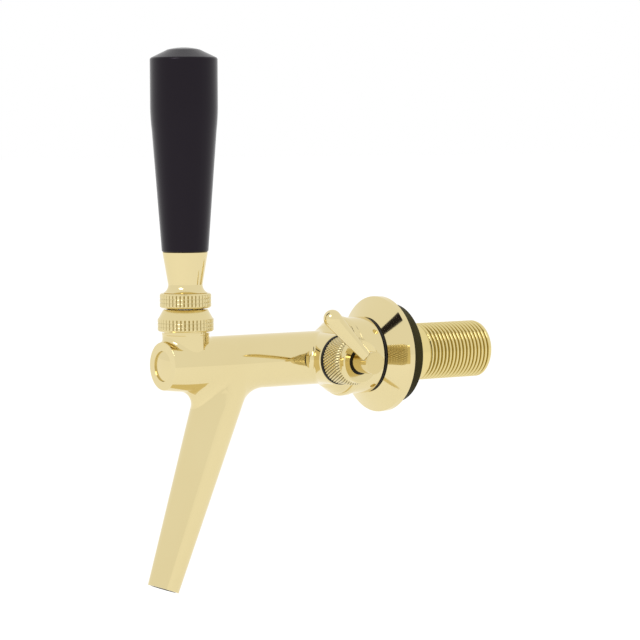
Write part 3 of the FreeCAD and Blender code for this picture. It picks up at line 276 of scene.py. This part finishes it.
class Knurl(GroovePattern):
    """Two families of rolled grooves, straight across each other or slanted to diamonds."""

    name = "knurl"
    groove_width = 0.62

    def groove(self, graph: Graph, count):
        """Sharp groove at each whole number of a running count, between flat-topped teeth."""
        wave = graph.math("SINE", graph.math("MULTIPLY", count, math.pi))
        wall = graph.math("DIVIDE", graph.math("ABSOLUTE", wave), self.groove_width)
        return graph.math("SUBTRACT", 1.0, wall, clamp=True)

    def sunk_share(self, graph: Graph, given: bpy.types.Node, turn, height):
        """The deeper of the two grooves at each place."""
        slant = given.outputs["Slant"]
        columns = graph.math("MULTIPLY", turn, given.outputs["Turns"])
        rise = graph.math("SUBTRACT", height, given.outputs["Low"])
        rows = graph.math("DIVIDE", rise, given.outputs["Pitch"])
        first = graph.math("MULTIPLY_ADD", rows, slant, columns)
        second = graph.math("MULTIPLY_ADD", columns, graph.math("MULTIPLY", slant, -1.0), rows)
        crossing = graph.math("MULTIPLY", self.groove(graph, second), given.outputs["Cross"])
        return graph.math("MAXIMUM", self.groove(graph, first), crossing)


class Thread(GroovePattern):
    """Single-start thread with broad crests and narrow roots."""

    name = "pipe_thread"
    narrowing = 2.4

    def sunk_share(self, graph: Graph, given: bpy.types.Node, turn, height):
        """A wave that climbs one pitch for each turn."""
        rows = graph.math("DIVIDE", height, given.outputs["Pitch"])
        climb = graph.math("SUBTRACT", rows, graph.math("MULTIPLY", turn, given.outputs["Turns"]))
        wave = graph.math("COSINE", graph.math("MULTIPLY", climb, 2 * math.pi))
        hollow = graph.math("MULTIPLY_ADD", wave, -0.5, 0.5, clamp=True)
        return graph.math("POWER", hollow, self.narrowing)


@dataclass(frozen=True)
class GrooveSizes:
    """Sizes of one knurled or threaded band.

    Args:
        low: where the band starts along the axis.
        high: where it ends.
        fade: length over which the grooves run out.
        wall: radius inside which nothing is moved.
        turns: columns round the piece, or the starts of a thread.
        pitch: distance from groove to groove along the axis.
        depth: depth of the grooves.
        slant: 0 for straight grooves, 1 for diamonds.
        cross: depth of the second family of grooves, as a share of the first.
    """

    low: float
    high: float
    fade: float
    wall: float
    turns: int
    pitch: float
    depth: float
    slant: float = 0.0
    cross: float = 0.0

    def values(self, axis: TurningAxis, finish: bpy.types.Material) -> dict[str, object]:
        """Inputs of the groove tree by their labels."""
        return {
            "Axis Point": axis.point, "Axis": axis.direction, "Side": axis.side,
            "Low": self.low, "High": self.high, "Fade": self.fade, "Wall": self.wall,
            "Turns": float(self.turns), "Pitch": self.pitch, "Depth": self.depth,
            "Slant": self.slant, "Cross": self.cross, "Finish": finish,
        }


def divided(outline: Outline, low: float, high: float, step: float, wall: float) -> Outline:
    """Adds points to an outline's stretches that lie in a band.

    Args:
        outline: closed loop of (radius, height) points.
        low: lower end of the band.
        high: upper end of the band.
        step: greatest distance between the new points.
        wall: radius that a stretch must lie outside of.

    Returns:
        The finer outline.
    """
    finer = []
    for start, end in zip(outline, outline[1:] + outline[:1]):
        finer.append(start)
        inside = min(start[1], end[1]) >= low - step and max(start[1], end[1]) <= high + step
        if inside and min(start[0], end[0]) > wall and start[1] != end[1]:
            count = max(1, math.ceil(abs(end[1] - start[1]) / step))
            for index in range(1, count):
                share = index / count
                finer.append((start[0] + share * (end[0] - start[0]),
                              start[1] + share * (end[1] - start[1])))
    return finer


def turned_mesh(name: str, outline: Outline, axis: TurningAxis, segments: int) -> bpy.types.Object:
    """Ring turned from a closed outline.

    Args:
        name: name of the object.
        outline: closed loop of (radius, height) points.
        axis: axis that the outline is turned about.
        segments: number of steps round the axis.

    Returns:
        The object, at the origin, with its place in its mesh.
    """
    shape = bmesh.new()
    rings = []
    for index in range(segments):
        angle = 2 * math.pi * index / segments
        ring = [shape.verts.new((radius * math.cos(angle), radius * math.sin(angle), height))
                for radius, height in outline]
        rings.append(ring)
    for ring, following in zip(rings, rings[1:] + rings[:1]):
        for index in range(len(outline)):
            after = (index + 1) % len(outline)
            shape.faces.new((ring[index], following[index], following[after], ring[after]))
    bmesh.ops.remove_doubles(shape, verts=shape.verts, dist=0.00005 * MM)
    bmesh.ops.recalc_face_normals(shape, faces=shape.faces)
    shape.transform(axis.matrix)
    mesh = bpy.data.meshes.new(name)
    shape.to_mesh(mesh)
    shape.free()
    mesh.shade_smooth()
    mesh.set_sharp_from_angle(angle=math.radians(SHARP_ANGLE))
    piece = bpy.data.objects.new(name, mesh)
    bpy.context.collection.objects.link(piece)
    return piece


def grooved(piece: bpy.types.Object, pattern: GroovePattern, sizes: GrooveSizes,
            axis: TurningAxis, finish: bpy.types.Material) -> bpy.types.Object:
    """Sinks a knurl or a thread into a turned blank and keeps the result as a plain mesh.

    Args:
        piece: the turned blank.
        pattern: groove tree.
        sizes: sizes of the band.
        axis: axis of the piece.
        finish: material of the piece.

    Returns:
        The same object with its new mesh.
    """
    modifier = piece.modifiers.new(pattern.name, "NODES")
    modifier.node_group = pattern.tree
    sockets = {item.name: item.identifier for item in pattern.tree.interface.items_tree
               if item.in_out == "INPUT"}
    for label, value in sizes.values(axis, finish).items():
        modifier[sockets[label]] = value
    graph = bpy.context.evaluated_depsgraph_get()
    mesh = bpy.data.meshes.new_from_object(piece.evaluated_get(graph), depsgraph=graph)
    piece.modifiers.remove(modifier)
    mesh.name = piece.name
    piece.data = mesh
    mesh.shade_smooth()
    mesh.set_sharp_from_angle(angle=math.radians(SHARP_ANGLE))
    return piece


def arc_points(start: tuple[float, float], end: tuple[float, float], centre: tuple[float, float],
               steps: int) -> Outline:
    """Points on an arc between two outline points, without the first one."""
    radius = math.dist(start, centre)
    first = math.atan2(start[1] - centre[1], start[0] - centre[0])
    last = math.atan2(end[1] - centre[1], end[0] - centre[0])
    points = []
    for index in range(1, steps + 1):
        angle = first + (last - first) * index / steps
        points.append((centre[0] + radius * math.cos(angle), centre[1] + radius * math.sin(angle)))
    return points


@dataclass(frozen=True)
class Finish:
    """Base of every finish: a material with a principled shader.

    Args:
        name: name of the material.
        colour: colour as linear red, green and blue.
        roughness: roughness of the surface.
    """

    name: str
    colour: tuple[float, float, float]
    roughness: float

    def make(self) -> bpy.types.Material:
        """Builds the material and lets the finish write its own nodes."""
        material = bpy.data.materials.new(self.name)
        material.use_nodes = True
        graph = Graph(material.node_tree)
        shader = material.node_tree.nodes["Principled BSDF"]
        shader.inputs["Base Color"].default_value = (*self.colour, 1.0)
        shader.inputs["Roughness"].default_value = self.roughness
        self.detail(graph, shader)
        return material

    def detail(self, graph: Graph, shader: bpy.types.Node) -> None:
        """Nodes of the finish. Overridden by each kind."""
        raise NotImplementedError

    def noise(self, graph: Graph, scale: float, detail: float = 3.0, stretch=(1.0, 1.0, 1.0)):
        """Noise on the object's own coordinates.

        Args:
            graph: writer of the material.
            scale: size of the noise, in waves for each metre.
            detail: octaves of the noise.
            stretch: scale of each axis.

        Returns:
            The noise's value socket.
        """
        place = graph.add("ShaderNodeTexCoord").outputs["Object"]
        mapped = graph.add("ShaderNodeMapping", {"Vector": place, "Scale": stretch})
        texture = graph.add("ShaderNodeTexNoise", {"Vector": mapped.outputs[0], "Scale": scale,
                                                   "Detail": detail})
        return texture.outputs[0]

    def spread(self, graph: Graph, value, low: float, high: float):
        """Maps a 0 to 1 value to a range, as a socket."""
        node = graph.add("ShaderNodeMapRange", {0: value, 3: low, 4: high})
        return node.outputs[0]

    def bump(self, graph: Graph, shader: bpy.types.Node, height, distance: float,
             strength: float = 1.0) -> None:
        """Feeds a height to the shader's normal."""
        node = graph.add("ShaderNodeBump", {"Height": height, "Distance": distance,
                                            "Strength": strength})
        graph.feed(shader.inputs["Normal"], node.outputs[0])


@dataclass(frozen=True)
class PolishedGold(Finish):
    """Gold plate over polished brass.

    Args:
        deep: colour in the plate's warmer clouds.
        edge: tint of the reflection at a grazing angle.
        wave: height of the polish's soft waves.
        grain: height of the fine grain that polishing leaves.
    """

    deep: tuple[float, float, float] = (0.70, 0.57, 0.28)
    edge: tuple[float, float, float] = (1.0, 0.98, 0.92)
    wave: float = 0.000006
    grain: float = 0.0000006

    def detail(self, graph: Graph, shader: bpy.types.Node) -> None:
        """Colour of the plate, smears in the gloss and the polish's waves."""
        shader.inputs["Metallic"].default_value = 1.0
        shader.inputs["Specular Tint"].default_value = (*self.edge, 1.0)
        graph.feed(shader.inputs["Base Color"], self.plate(graph))
        smears = self.noise(graph, 260.0, 4.0)
        graph.feed(shader.inputs["Roughness"],
                   self.spread(graph, smears, self.roughness * 0.75, self.roughness * 1.3))
        waves = graph.math("MULTIPLY", self.noise(graph, 70.0, 1.0), self.wave)
        fine = graph.math("MULTIPLY", self.noise(graph, 5200.0, 2.0), self.grain)
        self.bump(graph, shader, graph.math("ADD", waves, fine), 1.0)

    def plate(self, graph: Graph):
        """Colour of the plate with its warmer clouds, as a socket."""
        share = self.spread(graph, self.noise(graph, 45.0, 2.0), 0.0, 0.35)
        colour = graph.add("ShaderNodeMix", {"Factor": share, 6: (*self.colour, 1.0),
                                             7: (*self.deep, 1.0)}, data_type="RGBA")
        return colour.outputs[2]


@dataclass(frozen=True)
class GroovedGold(PolishedGold):
    """Gold plate with painted shade down in its grooves.

    Args:
        painted_groove_shade: colour of the painted shade at the bottom of a groove.
        amount: how much of that painted shade shows there.
    """

    painted_groove_shade: tuple[float, float, float] = (0.14, 0.105, 0.035)
    amount: float = 0.9

    def plate(self, graph: Graph):
        """Colour of the plate, with painted shade where the surface is sunk."""
        sunk = graph.add("ShaderNodeAttribute", attribute_name=SUNK).outputs["Fac"]
        # painted shade: the plate turns towards a dark colour by how deep the groove is there
        share = graph.math("MULTIPLY", sunk, self.amount, clamp=True)
        colour = graph.add("ShaderNodeMix", {"Factor": share, 6: super().plate(graph),
                                             7: (*self.painted_groove_shade, 1.0)}, data_type="RGBA")
        return colour.outputs[2]


@dataclass(frozen=True)
class TurnedMetal(Finish):
    """Plain turned metal with fine rings from the tool."""

    ring_pitch: float = 0.00012

    def detail(self, graph: Graph, shader: bpy.types.Node) -> None:
        """Fine rings in height and gloss."""
        shader.inputs["Metallic"].default_value = 1.0
        rings = self.noise(graph, 1.0 / self.ring_pitch / 3.0, 2.0, (0.02, 0.02, 1.0))
        graph.feed(shader.inputs["Roughness"],
                   self.spread(graph, rings, self.roughness * 0.8, self.roughness * 1.3))
        self.bump(graph, shader, graph.math("MULTIPLY", rings, 0.000004), 1.0)


@dataclass(frozen=True)
class MouldedPlastic(Finish):
    """Moulded plastic with a faint orange peel.

    Args:
        gloss: specular level of the surface.
        tint: tint of the gloss.
        peel: height of the orange peel.
    """

    gloss: float = 0.5
    tint: tuple[float, float, float] = (1.0, 1.0, 1.0)
    peel: float = 0.000004

    def detail(self, graph: Graph, shader: bpy.types.Node) -> None:
        """Orange peel, cloudy gloss and a slight change of colour."""
        shader.inputs["Specular IOR Level"].default_value = self.gloss
        shader.inputs["Specular Tint"].default_value = (*self.tint, 1.0)
        clouds = self.noise(graph, 120.0, 3.0)
        dark = tuple(0.7 * part for part in self.colour)
        colour = graph.add("ShaderNodeMix", {"Factor": clouds, 6: (*self.colour, 1.0),
                                             7: (*dark, 1.0)}, data_type="RGBA")
        graph.feed(shader.inputs["Base Color"], colour.outputs[2])
        graph.feed(shader.inputs["Roughness"],
                   self.spread(graph, clouds, self.roughness * 0.85, self.roughness * 1.15))
        peel = graph.math("MULTIPLY", self.noise(graph, 900.0, 2.0), self.peel)
        self.bump(graph, shader, peel, 1.0)


@dataclass(frozen=True)
class Rubber(Finish):
    """Dull black rubber with a fine grain.

    Args:
        grain: height of the grain.
        gloss: specular level of the surface.
    """

    grain: float = 0.00002
    gloss: float = 0.35

    def detail(self, graph: Graph, shader: bpy.types.Node) -> None:
        """Grain in height and a dusty change of colour."""
        shader.inputs["Specular IOR Level"].default_value = self.gloss
        dust = self.noise(graph, 340.0, 5.0)
        pale = tuple(1.9 * part for part in self.colour)
        colour = graph.add("ShaderNodeMix", {"Factor": dust, 6: (*self.colour, 1.0),
                                             7: (*pale, 1.0)}, data_type="RGBA")
        graph.feed(shader.inputs["Base Color"], colour.outputs[2])
        grain = graph.math("MULTIPLY", self.noise(graph, 3800.0, 3.0), self.grain)
        self.bump(graph, shader, grain, 1.0)


@dataclass
class Finishes:
    """Every material of the tap, made once."""

    gold: bpy.types.Material = field(init=False)
    warm_gold: bpy.types.Material = field(init=False)
    rolled_gold: bpy.types.Material = field(init=False)
    hatched_gold: bpy.types.Material = field(init=False)
    cut_gold: bpy.types.Material = field(init=False)
    grip: bpy.types.Material = field(init=False)
    rubber: bpy.types.Material = field(init=False)
    washer: bpy.types.Material = field(init=False)
    steel: bpy.types.Material = field(init=False)
    brass: bpy.types.Material = field(init=False)
    plastic: bpy.types.Material = field(init=False)

    def __post_init__(self) -> None:
        """Builds the materials."""
        self.gold = PolishedGold("polished_gold_plate", (0.76, 0.65, 0.36), 0.06).make()
        self.warm_gold = PolishedGold("warm_gold_plate", (0.69, 0.57, 0.28), 0.09).make()
        # The rolled, hatched and cut golds carry painted shade in their grooves.
        self.rolled_gold = GroovedGold("rolled_gold_plate", (0.76, 0.65, 0.35), 0.14,
                                       painted_groove_shade=(0.26, 0.19, 0.06), amount=0.62).make()
        self.hatched_gold = GroovedGold("hatched_gold_plate", (0.76, 0.65, 0.35), 0.12,
                                        painted_groove_shade=(0.09, 0.065, 0.025), amount=1.0).make()
        self.cut_gold = GroovedGold("cut_gold_plate", (0.77, 0.64, 0.28), 0.11,
                                    painted_groove_shade=(0.36, 0.27, 0.05), amount=1.0).make()
        self.grip = MouldedPlastic("black_moulded_grip", (0.0045, 0.0035, 0.005), 0.22,
                                   gloss=0.25, tint=(0.95, 0.8, 1.0)).make()
        self.rubber = Rubber("black_seal_rubber", (0.006, 0.005, 0.004), 0.5).make()
        # The washer's dark colour is its own; its olive tint is a painted reflection of the gold
        # round it.
        self.washer = Rubber("washer_rubber_with_painted_reflection", (0.032, 0.027, 0.006), 0.5,
                             gloss=0.12).make()
        self.steel = TurnedMetal("turned_steel", (0.62, 0.60, 0.57), 0.25).make()
        self.brass = TurnedMetal("turned_brass", (0.78, 0.57, 0.25), 0.25).make()
        self.plastic = MouldedPlastic("white_slide_plastic", (0.8, 0.8, 0.77), 0.4).make()


class SubAssembly:
    """Group of pieces that are dressed together."""

    body: Body = Body.HOUSING

    def kept(self) -> Iterable[tuple[str, str]]:
        """Frame nodes that keep their mesh, each with the name of its finish."""
        return ()

    def build(self, finishes: Finishes) -> list[bpy.types.Object]:
        """Makes the pieces that replace frame nodes. None by default."""
        return []

    def dress(self, finishes: Finishes) -> None:
        """Gives the kept nodes their finishes.

        Args:
            finishes: the tap's materials.
        """
        for node, finish in self.kept():
            mesh_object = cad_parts[node]
            material = getattr(finishes, finish)
            for place in mesh_object.material_slots:
                place.material = material
            LOG.info("dressed %s", node)

    def settle(self, piece: bpy.types.Object, node: str) -> None:
        """Lets a new piece stand for its node and ride on its body."""
        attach(piece, self.body.value)
        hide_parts(node)
        LOG.info("made %s with %d faces", piece.name, len(piece.data.polygons))


@dataclass
class Handle(SubAssembly):
    """Grip, ferrule and the knurled lock ring, which swing on the ball."""

    body = Body.HANDLE
    ring_edge: float = 0.5 * MM
    ring_columns: int = 40
    ring_rows: int = 3
    groove_depth: float = 0.4 * MM
    cross: float = 0.4
    stud_hole_r: float = 4.05 * MM
    ball_height: float = 13.4 * MM
    hollow_r: float = 12.045 * MM

    def kept(self) -> Iterable[tuple[str, str]]:
        """Nodes of the handle that keep their mesh."""
        return (("handle_grip", "grip"), ("handle_ferrule", "gold"), ("lever", "steel"),
                ("handle_insert", "brass"))

    def build(self, finishes: Finishes) -> list[bpy.types.Object]:
        """Makes the knurled lock ring."""
        low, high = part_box("lock_ring")
        radius = (high[0] - low[0]) / 2
        edge = self.ring_edge
        rim_r = math.sqrt(self.hollow_r ** 2 - (low[2] - self.ball_height) ** 2)
        eye = self.ball_height + math.sqrt(self.hollow_r ** 2 - self.stud_hole_r ** 2)
        outline = [(rim_r, low[2]), (radius - edge, low[2]), (radius, low[2] + edge)]
        outline += [(radius, high[2] - edge), (radius - edge, high[2]), (self.stud_hole_r, high[2])]
        outline += [(self.stud_hole_r, eye)]
        outline += arc_points((self.stud_hole_r, eye), (rim_r, low[2]), (0, self.ball_height), 8)[:-1]
        piece = knurled_piece("knurled_lock_ring", outline, handle_axis(), low[2] + edge,
                              high[2] - edge, radius - 1.5 * self.groove_depth,
                              self.ring_columns, self.ring_rows, self.groove_depth,
                              Pattern.CROSS, self.cross, finishes.rolled_gold)
        self.settle(piece, "lock_ring")
        return [piece]


def knurled_piece(name: str, outline: Outline, axis: TurningAxis, low: float, high: float,
                  wall: float, columns: int, rows: int, depth: float, pattern: Pattern,
                  cross: float, finish: bpy.types.Material) -> bpy.types.Object:
    """Turned piece with one knurled band.

    Args:
        name: name of the piece.
        outline: closed loop of (radius, height) points.
        axis: axis of the piece.
        low: lower end of the knurl.
        high: upper end of the knurl.
        wall: radius inside which nothing is moved.
        columns: grooves round the piece.
        rows: grooves along it.
        depth: depth of the grooves.
        pattern: straight or diamond knurl.
        cross: depth of the second family of grooves, as a share of the first.
        finish: material of the piece.

    Returns:
        The finished piece.
    """
    steps_per_groove = 10
    pitch = (high - low) / rows
    fine = divided(outline, low, high, pitch / steps_per_groove, wall)
    blank = turned_mesh(name, fine, axis, columns * steps_per_groove)
    sizes = GrooveSizes(low, high, 0.3 * MM, wall, columns, pitch, depth, pattern.value, cross)
    return grooved(blank, Knurl(), sizes, axis, finish)


@dataclass
class Neck(SubAssembly):
    """Knurled bonnet and what it holds over the ball."""

    edge: float = 0.4 * MM
    fine_edge: float = 0.2 * MM
    knurl_high: float = 18.2 * MM
    shoulder: float = 17.0 * MM
    top_r: float = 8.6 * MM
    mouth_r: float = 7.34 * MM
    throat_r: float = 5.41 * MM
    thread_r: float = 8.35 * MM
    columns: int = 42
    rows: int = 3
    groove_depth: float = 0.4 * MM
    cross: float = 0.4

    def kept(self) -> Iterable[tuple[str, str]]:
        """Nodes at the ball joint that keep their mesh."""
        return (("ball_seal", "rubber"), ("friction_ring", "plastic"))

    def build(self, finishes: Finishes) -> list[bpy.types.Object]:
        """Makes the knurled bonnet."""
        low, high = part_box("knurled_bonnet")
        radius = (high[0] - low[0]) / 2
        outline = [(self.thread_r, low[2]), (radius - self.edge, low[2])]
        outline += [(radius, low[2] + self.edge), (radius, self.knurl_high - self.edge)]
        outline += [(radius - self.edge, self.knurl_high), (self.top_r, high[2] - self.fine_edge)]
        outline += [(self.top_r - self.fine_edge, high[2]), (self.mouth_r, high[2])]
        outline += [(self.throat_r, self.shoulder), (self.thread_r, self.shoulder)]
        piece = knurled_piece("knurled_neck_bonnet", outline, handle_axis(),
                              low[2] + self.edge, self.knurl_high - self.edge,
                              radius - 1.5 * self.groove_depth, self.columns, self.rows,
                              self.groove_depth, Pattern.CROSS, self.cross,
                              finishes.rolled_gold)
        self.settle(piece, "knurled_bonnet")
        return [piece]


@dataclass
class Barrel(SubAssembly):
    """Forged body with its front plug, and the valve inside it."""

    crown_drop: float = 0.45 * MM
    crown_steps: int = 14
    groove_from_rear: float = 1.3 * MM
    groove_half: float = 0.53 * MM
    groove_depth: float = 1.01 * MM
    segments: int = 96

    def build(self, finishes: Finishes) -> list[bpy.types.Object]:
        """Makes the front plug with its softly domed face."""
        low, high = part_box("front_plug")
        radius = (high[0] - low[0]) / 2
        face, rear = low[1], high[1]
        outline = [(0.0, rear)]
        for index in range(self.crown_steps + 1):
            share = index / self.crown_steps
            outline.append((share * radius, face + self.crown_drop * share ** 2))
        groove = rear - self.groove_from_rear
        for height in (groove - self.groove_half, groove + self.groove_half):
            pair = [(radius, height), (radius - self.groove_depth, height)]
            outline += pair if height < groove else pair[::-1]
        outline += [(radius, rear)]
        piece = turned_mesh("domed_front_plug", outline, barrel_axis(), self.segments)
        piece.data.materials.append(finishes.gold)
        self.settle(piece, "front_plug")
        return [piece]

    def kept(self) -> Iterable[tuple[str, str]]:
        """Nodes of the body and the valve that keep their mesh."""
        return (("tap_body", "gold"), ("front_plug_seal", "rubber"),
                ("valve_piston", "steel"), ("piston_front_seal", "rubber"),
                ("piston_rear_seal", "rubber"), ("compensator_cone", "plastic"))


@dataclass
class FlowControl(SubAssembly):
    """Side flow control with its knurled gland nut."""

    edge: float = 0.4 * MM
    knurl_high: float = 24.5 * MM
    step_r: float = 8.45 * MM
    step_x: float = 26.2 * MM
    rim_r: float = 7.95 * MM
    dish_x: float = 28.2 * MM
    ring_seat_r: float = 5.15 * MM
    ring_seat_x: float = 26.9 * MM
    stem_hole_r: float = 4.42 * MM
    thread_r: float = 7.95 * MM
    thread_end: float = 24.08 * MM
    columns: int = 50
    rows: int = 4
    groove_depth: float = 0.4 * MM
    cross: float = 0.45

    def kept(self) -> Iterable[tuple[str, str]]:
        """Nodes of the flow control that keep their mesh."""
        return (("flow_stem", "warm_gold"), ("flow_lever", "gold"), ("eccentric_pin", "steel"),
                ("stem_inner_seal", "rubber"), ("stem_outer_seal", "rubber"),
                ("gland_gasket", "rubber"), ("thrust_washer", "plastic"), ("dust_ring", "rubber"))

    def build(self, finishes: Finishes) -> list[bpy.types.Object]:
        """Makes the knurled gland nut."""
        low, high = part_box("gland_nut")
        radius = (high[2] - low[2]) / 2
        outline = [(self.thread_r, low[0]), (radius - self.edge, low[0])]
        outline += [(radius, low[0] + self.edge), (radius, self.knurl_high)]
        outline += [(self.step_r, self.step_x), (self.step_r, high[0] - self.edge)]
        outline += [(self.rim_r, high[0]), (self.ring_seat_r, self.dish_x)]
        outline += [(self.ring_seat_r, self.ring_seat_x), (self.stem_hole_r, self.ring_seat_x)]
        outline += [(self.stem_hole_r, self.thread_end), (self.thread_r, self.thread_end)]
        piece = knurled_piece("knurled_gland_nut", outline, flow_axis(), low[0] + self.edge / 2,
                              self.step_x - self.edge / 2, self.step_r - self.edge / 2,
                              self.columns, self.rows, self.groove_depth, Pattern.DIAMOND,
                              self.cross, finishes.hatched_gold)
        self.settle(piece, "gland_nut")
        return [piece]


@dataclass
class WallFixing(SubAssembly):
    """Union ring, wall plate, washer and the threaded shank."""

    plain_r: float = 11.0 * MM
    collar_t: float = 1.8 * MM
    chamfer: float = 1.1 * MM
    bore_r: float = 5.0 * MM
    bore_edge: float = 0.4 * MM
    mouth_r: float = 7.4 * MM
    mouth_step: float = 2.4 * MM
    thread_step: float = 2.1 * MM
    thread_start: float = 9.4 * MM
    thread_pitch: float = 1.814 * MM
    thread_depth: float = 0.95 * MM
    thread_run: float = 1.6 * MM
    segments: int = 180
    steps_per_pitch: int = 16

    def kept(self) -> Iterable[tuple[str, str]]:
        """Nodes of the wall fixing that keep their mesh."""
        return (("coupling_ring", "gold"), ("escutcheon", "gold"), ("escutcheon_gasket", "rubber"),
                ("wall_washer", "washer"), ("shank_gasket", "rubber"))

    def build(self, finishes: Finishes) -> list[bpy.types.Object]:
        """Makes the shank with its thread."""
        low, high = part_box("shank")
        collar_r = (high[0] - low[0]) / 2
        thread_r = collar_r - 1.645 * MM
        front, rear = low[1], high[1]
        collar_rear = front + self.collar_t
        outline = [(self.mouth_r, front), (collar_r, front), (collar_r, collar_rear)]
        outline += [(self.plain_r, collar_rear), (self.plain_r, 0), (thread_r, 0)]
        outline += [(thread_r, self.thread_start), (thread_r, rear - self.chamfer)]
        outline += [(thread_r - self.chamfer, rear), (self.bore_r + self.bore_edge, rear)]
        outline += [(self.bore_r, rear - self.bore_edge), (self.bore_r, front + self.mouth_step)]
        wall = thread_r - 2 * self.thread_depth
        step = self.thread_pitch / self.steps_per_pitch
        fine = divided(outline, self.thread_start, rear, step, wall)
        blank = turned_mesh("threaded_shank", fine, barrel_axis(), self.segments)
        sizes = GrooveSizes(self.thread_start, rear - self.chamfer / 2, self.thread_run, wall, 1,
                            self.thread_pitch, self.thread_depth)
        piece = grooved(blank, Thread(), sizes, barrel_axis(), finishes.cut_gold)
        self.settle(piece, "shank")
        return [piece]


@dataclass
class Studio:
    """Camera, floor, world and lamps."""

    camera_turn: float = 54.47
    camera_rise: float = 3.66
    camera_roll: float = -0.27
    focal_px: float = 2904.0
    image_px: float = 640.0
    metres_per_px: float = 0.3824 * MM
    aim_right_px: float = 133.99
    aim_up_px: float = 45.06
    sensor: float = 36.0
    floor_drop: float = 25 * MM

    def axes(self) -> tuple[Vector, Vector, Vector]:
        """Camera's right, up and back directions."""
        turn = math.radians(self.camera_turn)
        rise = math.radians(self.camera_rise)
        roll = math.radians(self.camera_roll)
        right = Vector((math.cos(turn), math.sin(turn), 0))
        back = Vector((math.sin(turn) * math.cos(rise), -math.cos(turn) * math.cos(rise),
                       math.sin(rise)))
        up = back.cross(right)
        return (math.cos(roll) * right + math.sin(roll) * up,
                -math.sin(roll) * right + math.cos(roll) * up, back)

    def add_camera(self) -> None:
        """Camera at the photograph's viewing angle."""
        right, up, back = self.axes()
        fit = Vector((0, middle_of("handle_grip").y, 0))
        reach = self.aim_right_px * right + self.aim_up_px * up + self.focal_px * back
        data = bpy.data.cameras.new("camera")
        data.lens = self.focal_px / self.image_px * self.sensor
        data.sensor_width = self.sensor
        data.clip_start = 0.01
        camera = bpy.data.objects.new("camera", data)
        turn = Matrix((right, up, back)).transposed().to_4x4()
        camera.matrix_world = Matrix.Translation(fit + self.metres_per_px * reach) @ turn
        bpy.context.collection.objects.link(camera)
        bpy.context.scene.camera = camera

    def add_floor(self) -> None:
        """Pale floor that keeps a soft shadow."""
        bpy.ops.mesh.primitive_plane_add(size=40, location=(0, 0, CAD_BOX[0][2] - self.floor_drop))
        floor = bpy.context.object
        floor.name = "pale_floor"
        material = bpy.data.materials.new("pale_floor")
        material.use_nodes = True
        graph = Graph(material.node_tree)
        shader = material.node_tree.nodes["Principled BSDF"]
        shader.inputs["Base Color"].default_value = (0.4, 0.4, 0.4, 1.0)
        shader.inputs["Roughness"].default_value = 1.0
        shader.inputs["Specular IOR Level"].default_value = 0.0
        rays = graph.add("ShaderNodeLightPath")
        seen = graph.math("MAXIMUM", rays.outputs["Is Camera Ray"], rays.outputs["Is Glossy Ray"])
        seen = graph.math("MAXIMUM", seen, rays.outputs["Is Transmission Ray"])
        glow = graph.add("ShaderNodeEmission", {"Strength": graph.math("MULTIPLY", seen, 0.74)})
        both = graph.add("ShaderNodeAddShader", {0: shader.outputs[0], 1: glow.outputs[0]})
        output = material.node_tree.nodes["Material Output"]
        graph.feed(output.inputs["Surface"], both.outputs[0])
        floor.data.materials.append(material)

    def add_world(self) -> None:
        """World that lights the tap plainly and shows white to the camera and in the gloss."""
        world = bpy.data.worlds.new("studio")
        bpy.context.scene.world = world
        world.use_nodes = True
        graph = Graph(world.node_tree)
        shine = world.node_tree.nodes["Background"]
        rays = graph.add("ShaderNodeLightPath")
        seen = graph.math("MAXIMUM", rays.outputs["Is Camera Ray"], rays.outputs["Is Glossy Ray"])
        seen = graph.math("MAXIMUM", seen, rays.outputs["Is Transmission Ray"])
        white = graph.add("ShaderNodeMix", {"Factor": seen, 6: (0.8, 0.8, 0.8, 1.0),
                                            7: (1.0, 1.0, 1.0, 1.0)}, data_type="RGBA")
        graph.feed(shine.inputs["Color"], white.outputs[2])
        shine.inputs["Strength"].default_value = 1.0

    def add_lamps(self) -> None:
        """One large soft lamp above and to the left of the camera."""
        right, up, back = self.axes()
        aim = Vector((0, -0.06, 0.01))
        place = aim + 0.9 * back - 0.5 * right + 0.7 * up
        data = bpy.data.lights.new("soft_key", "AREA")
        data.shape = "DISK"
        data.size = 0.5
        data.energy = 2.2
        lamp = bpy.data.objects.new("soft_key", data)
        lamp.location = place
        lamp.rotation_euler = (place - aim).to_track_quat("Z", "Y").to_euler()
        bpy.context.collection.objects.link(lamp)

    def build(self) -> None:
        """Sets up the whole studio."""
        self.add_camera()
        self.add_floor()
        self.add_world()
        self.add_lamps()
        bpy.context.scene.view_settings.view_transform = "Standard"


def main() -> None:
    """Builds and dresses every sub-assembly, then the studio."""
    logging.basicConfig(level=logging.INFO, format="%(name)s: %(message)s")
    finishes = Finishes()
    for part in (Handle(), Neck(), Barrel(), FlowControl(), WallFixing()):
        part.build(finishes)
        part.dress(finishes)
    Studio().build()


if __name__ == "__main__":
    main()
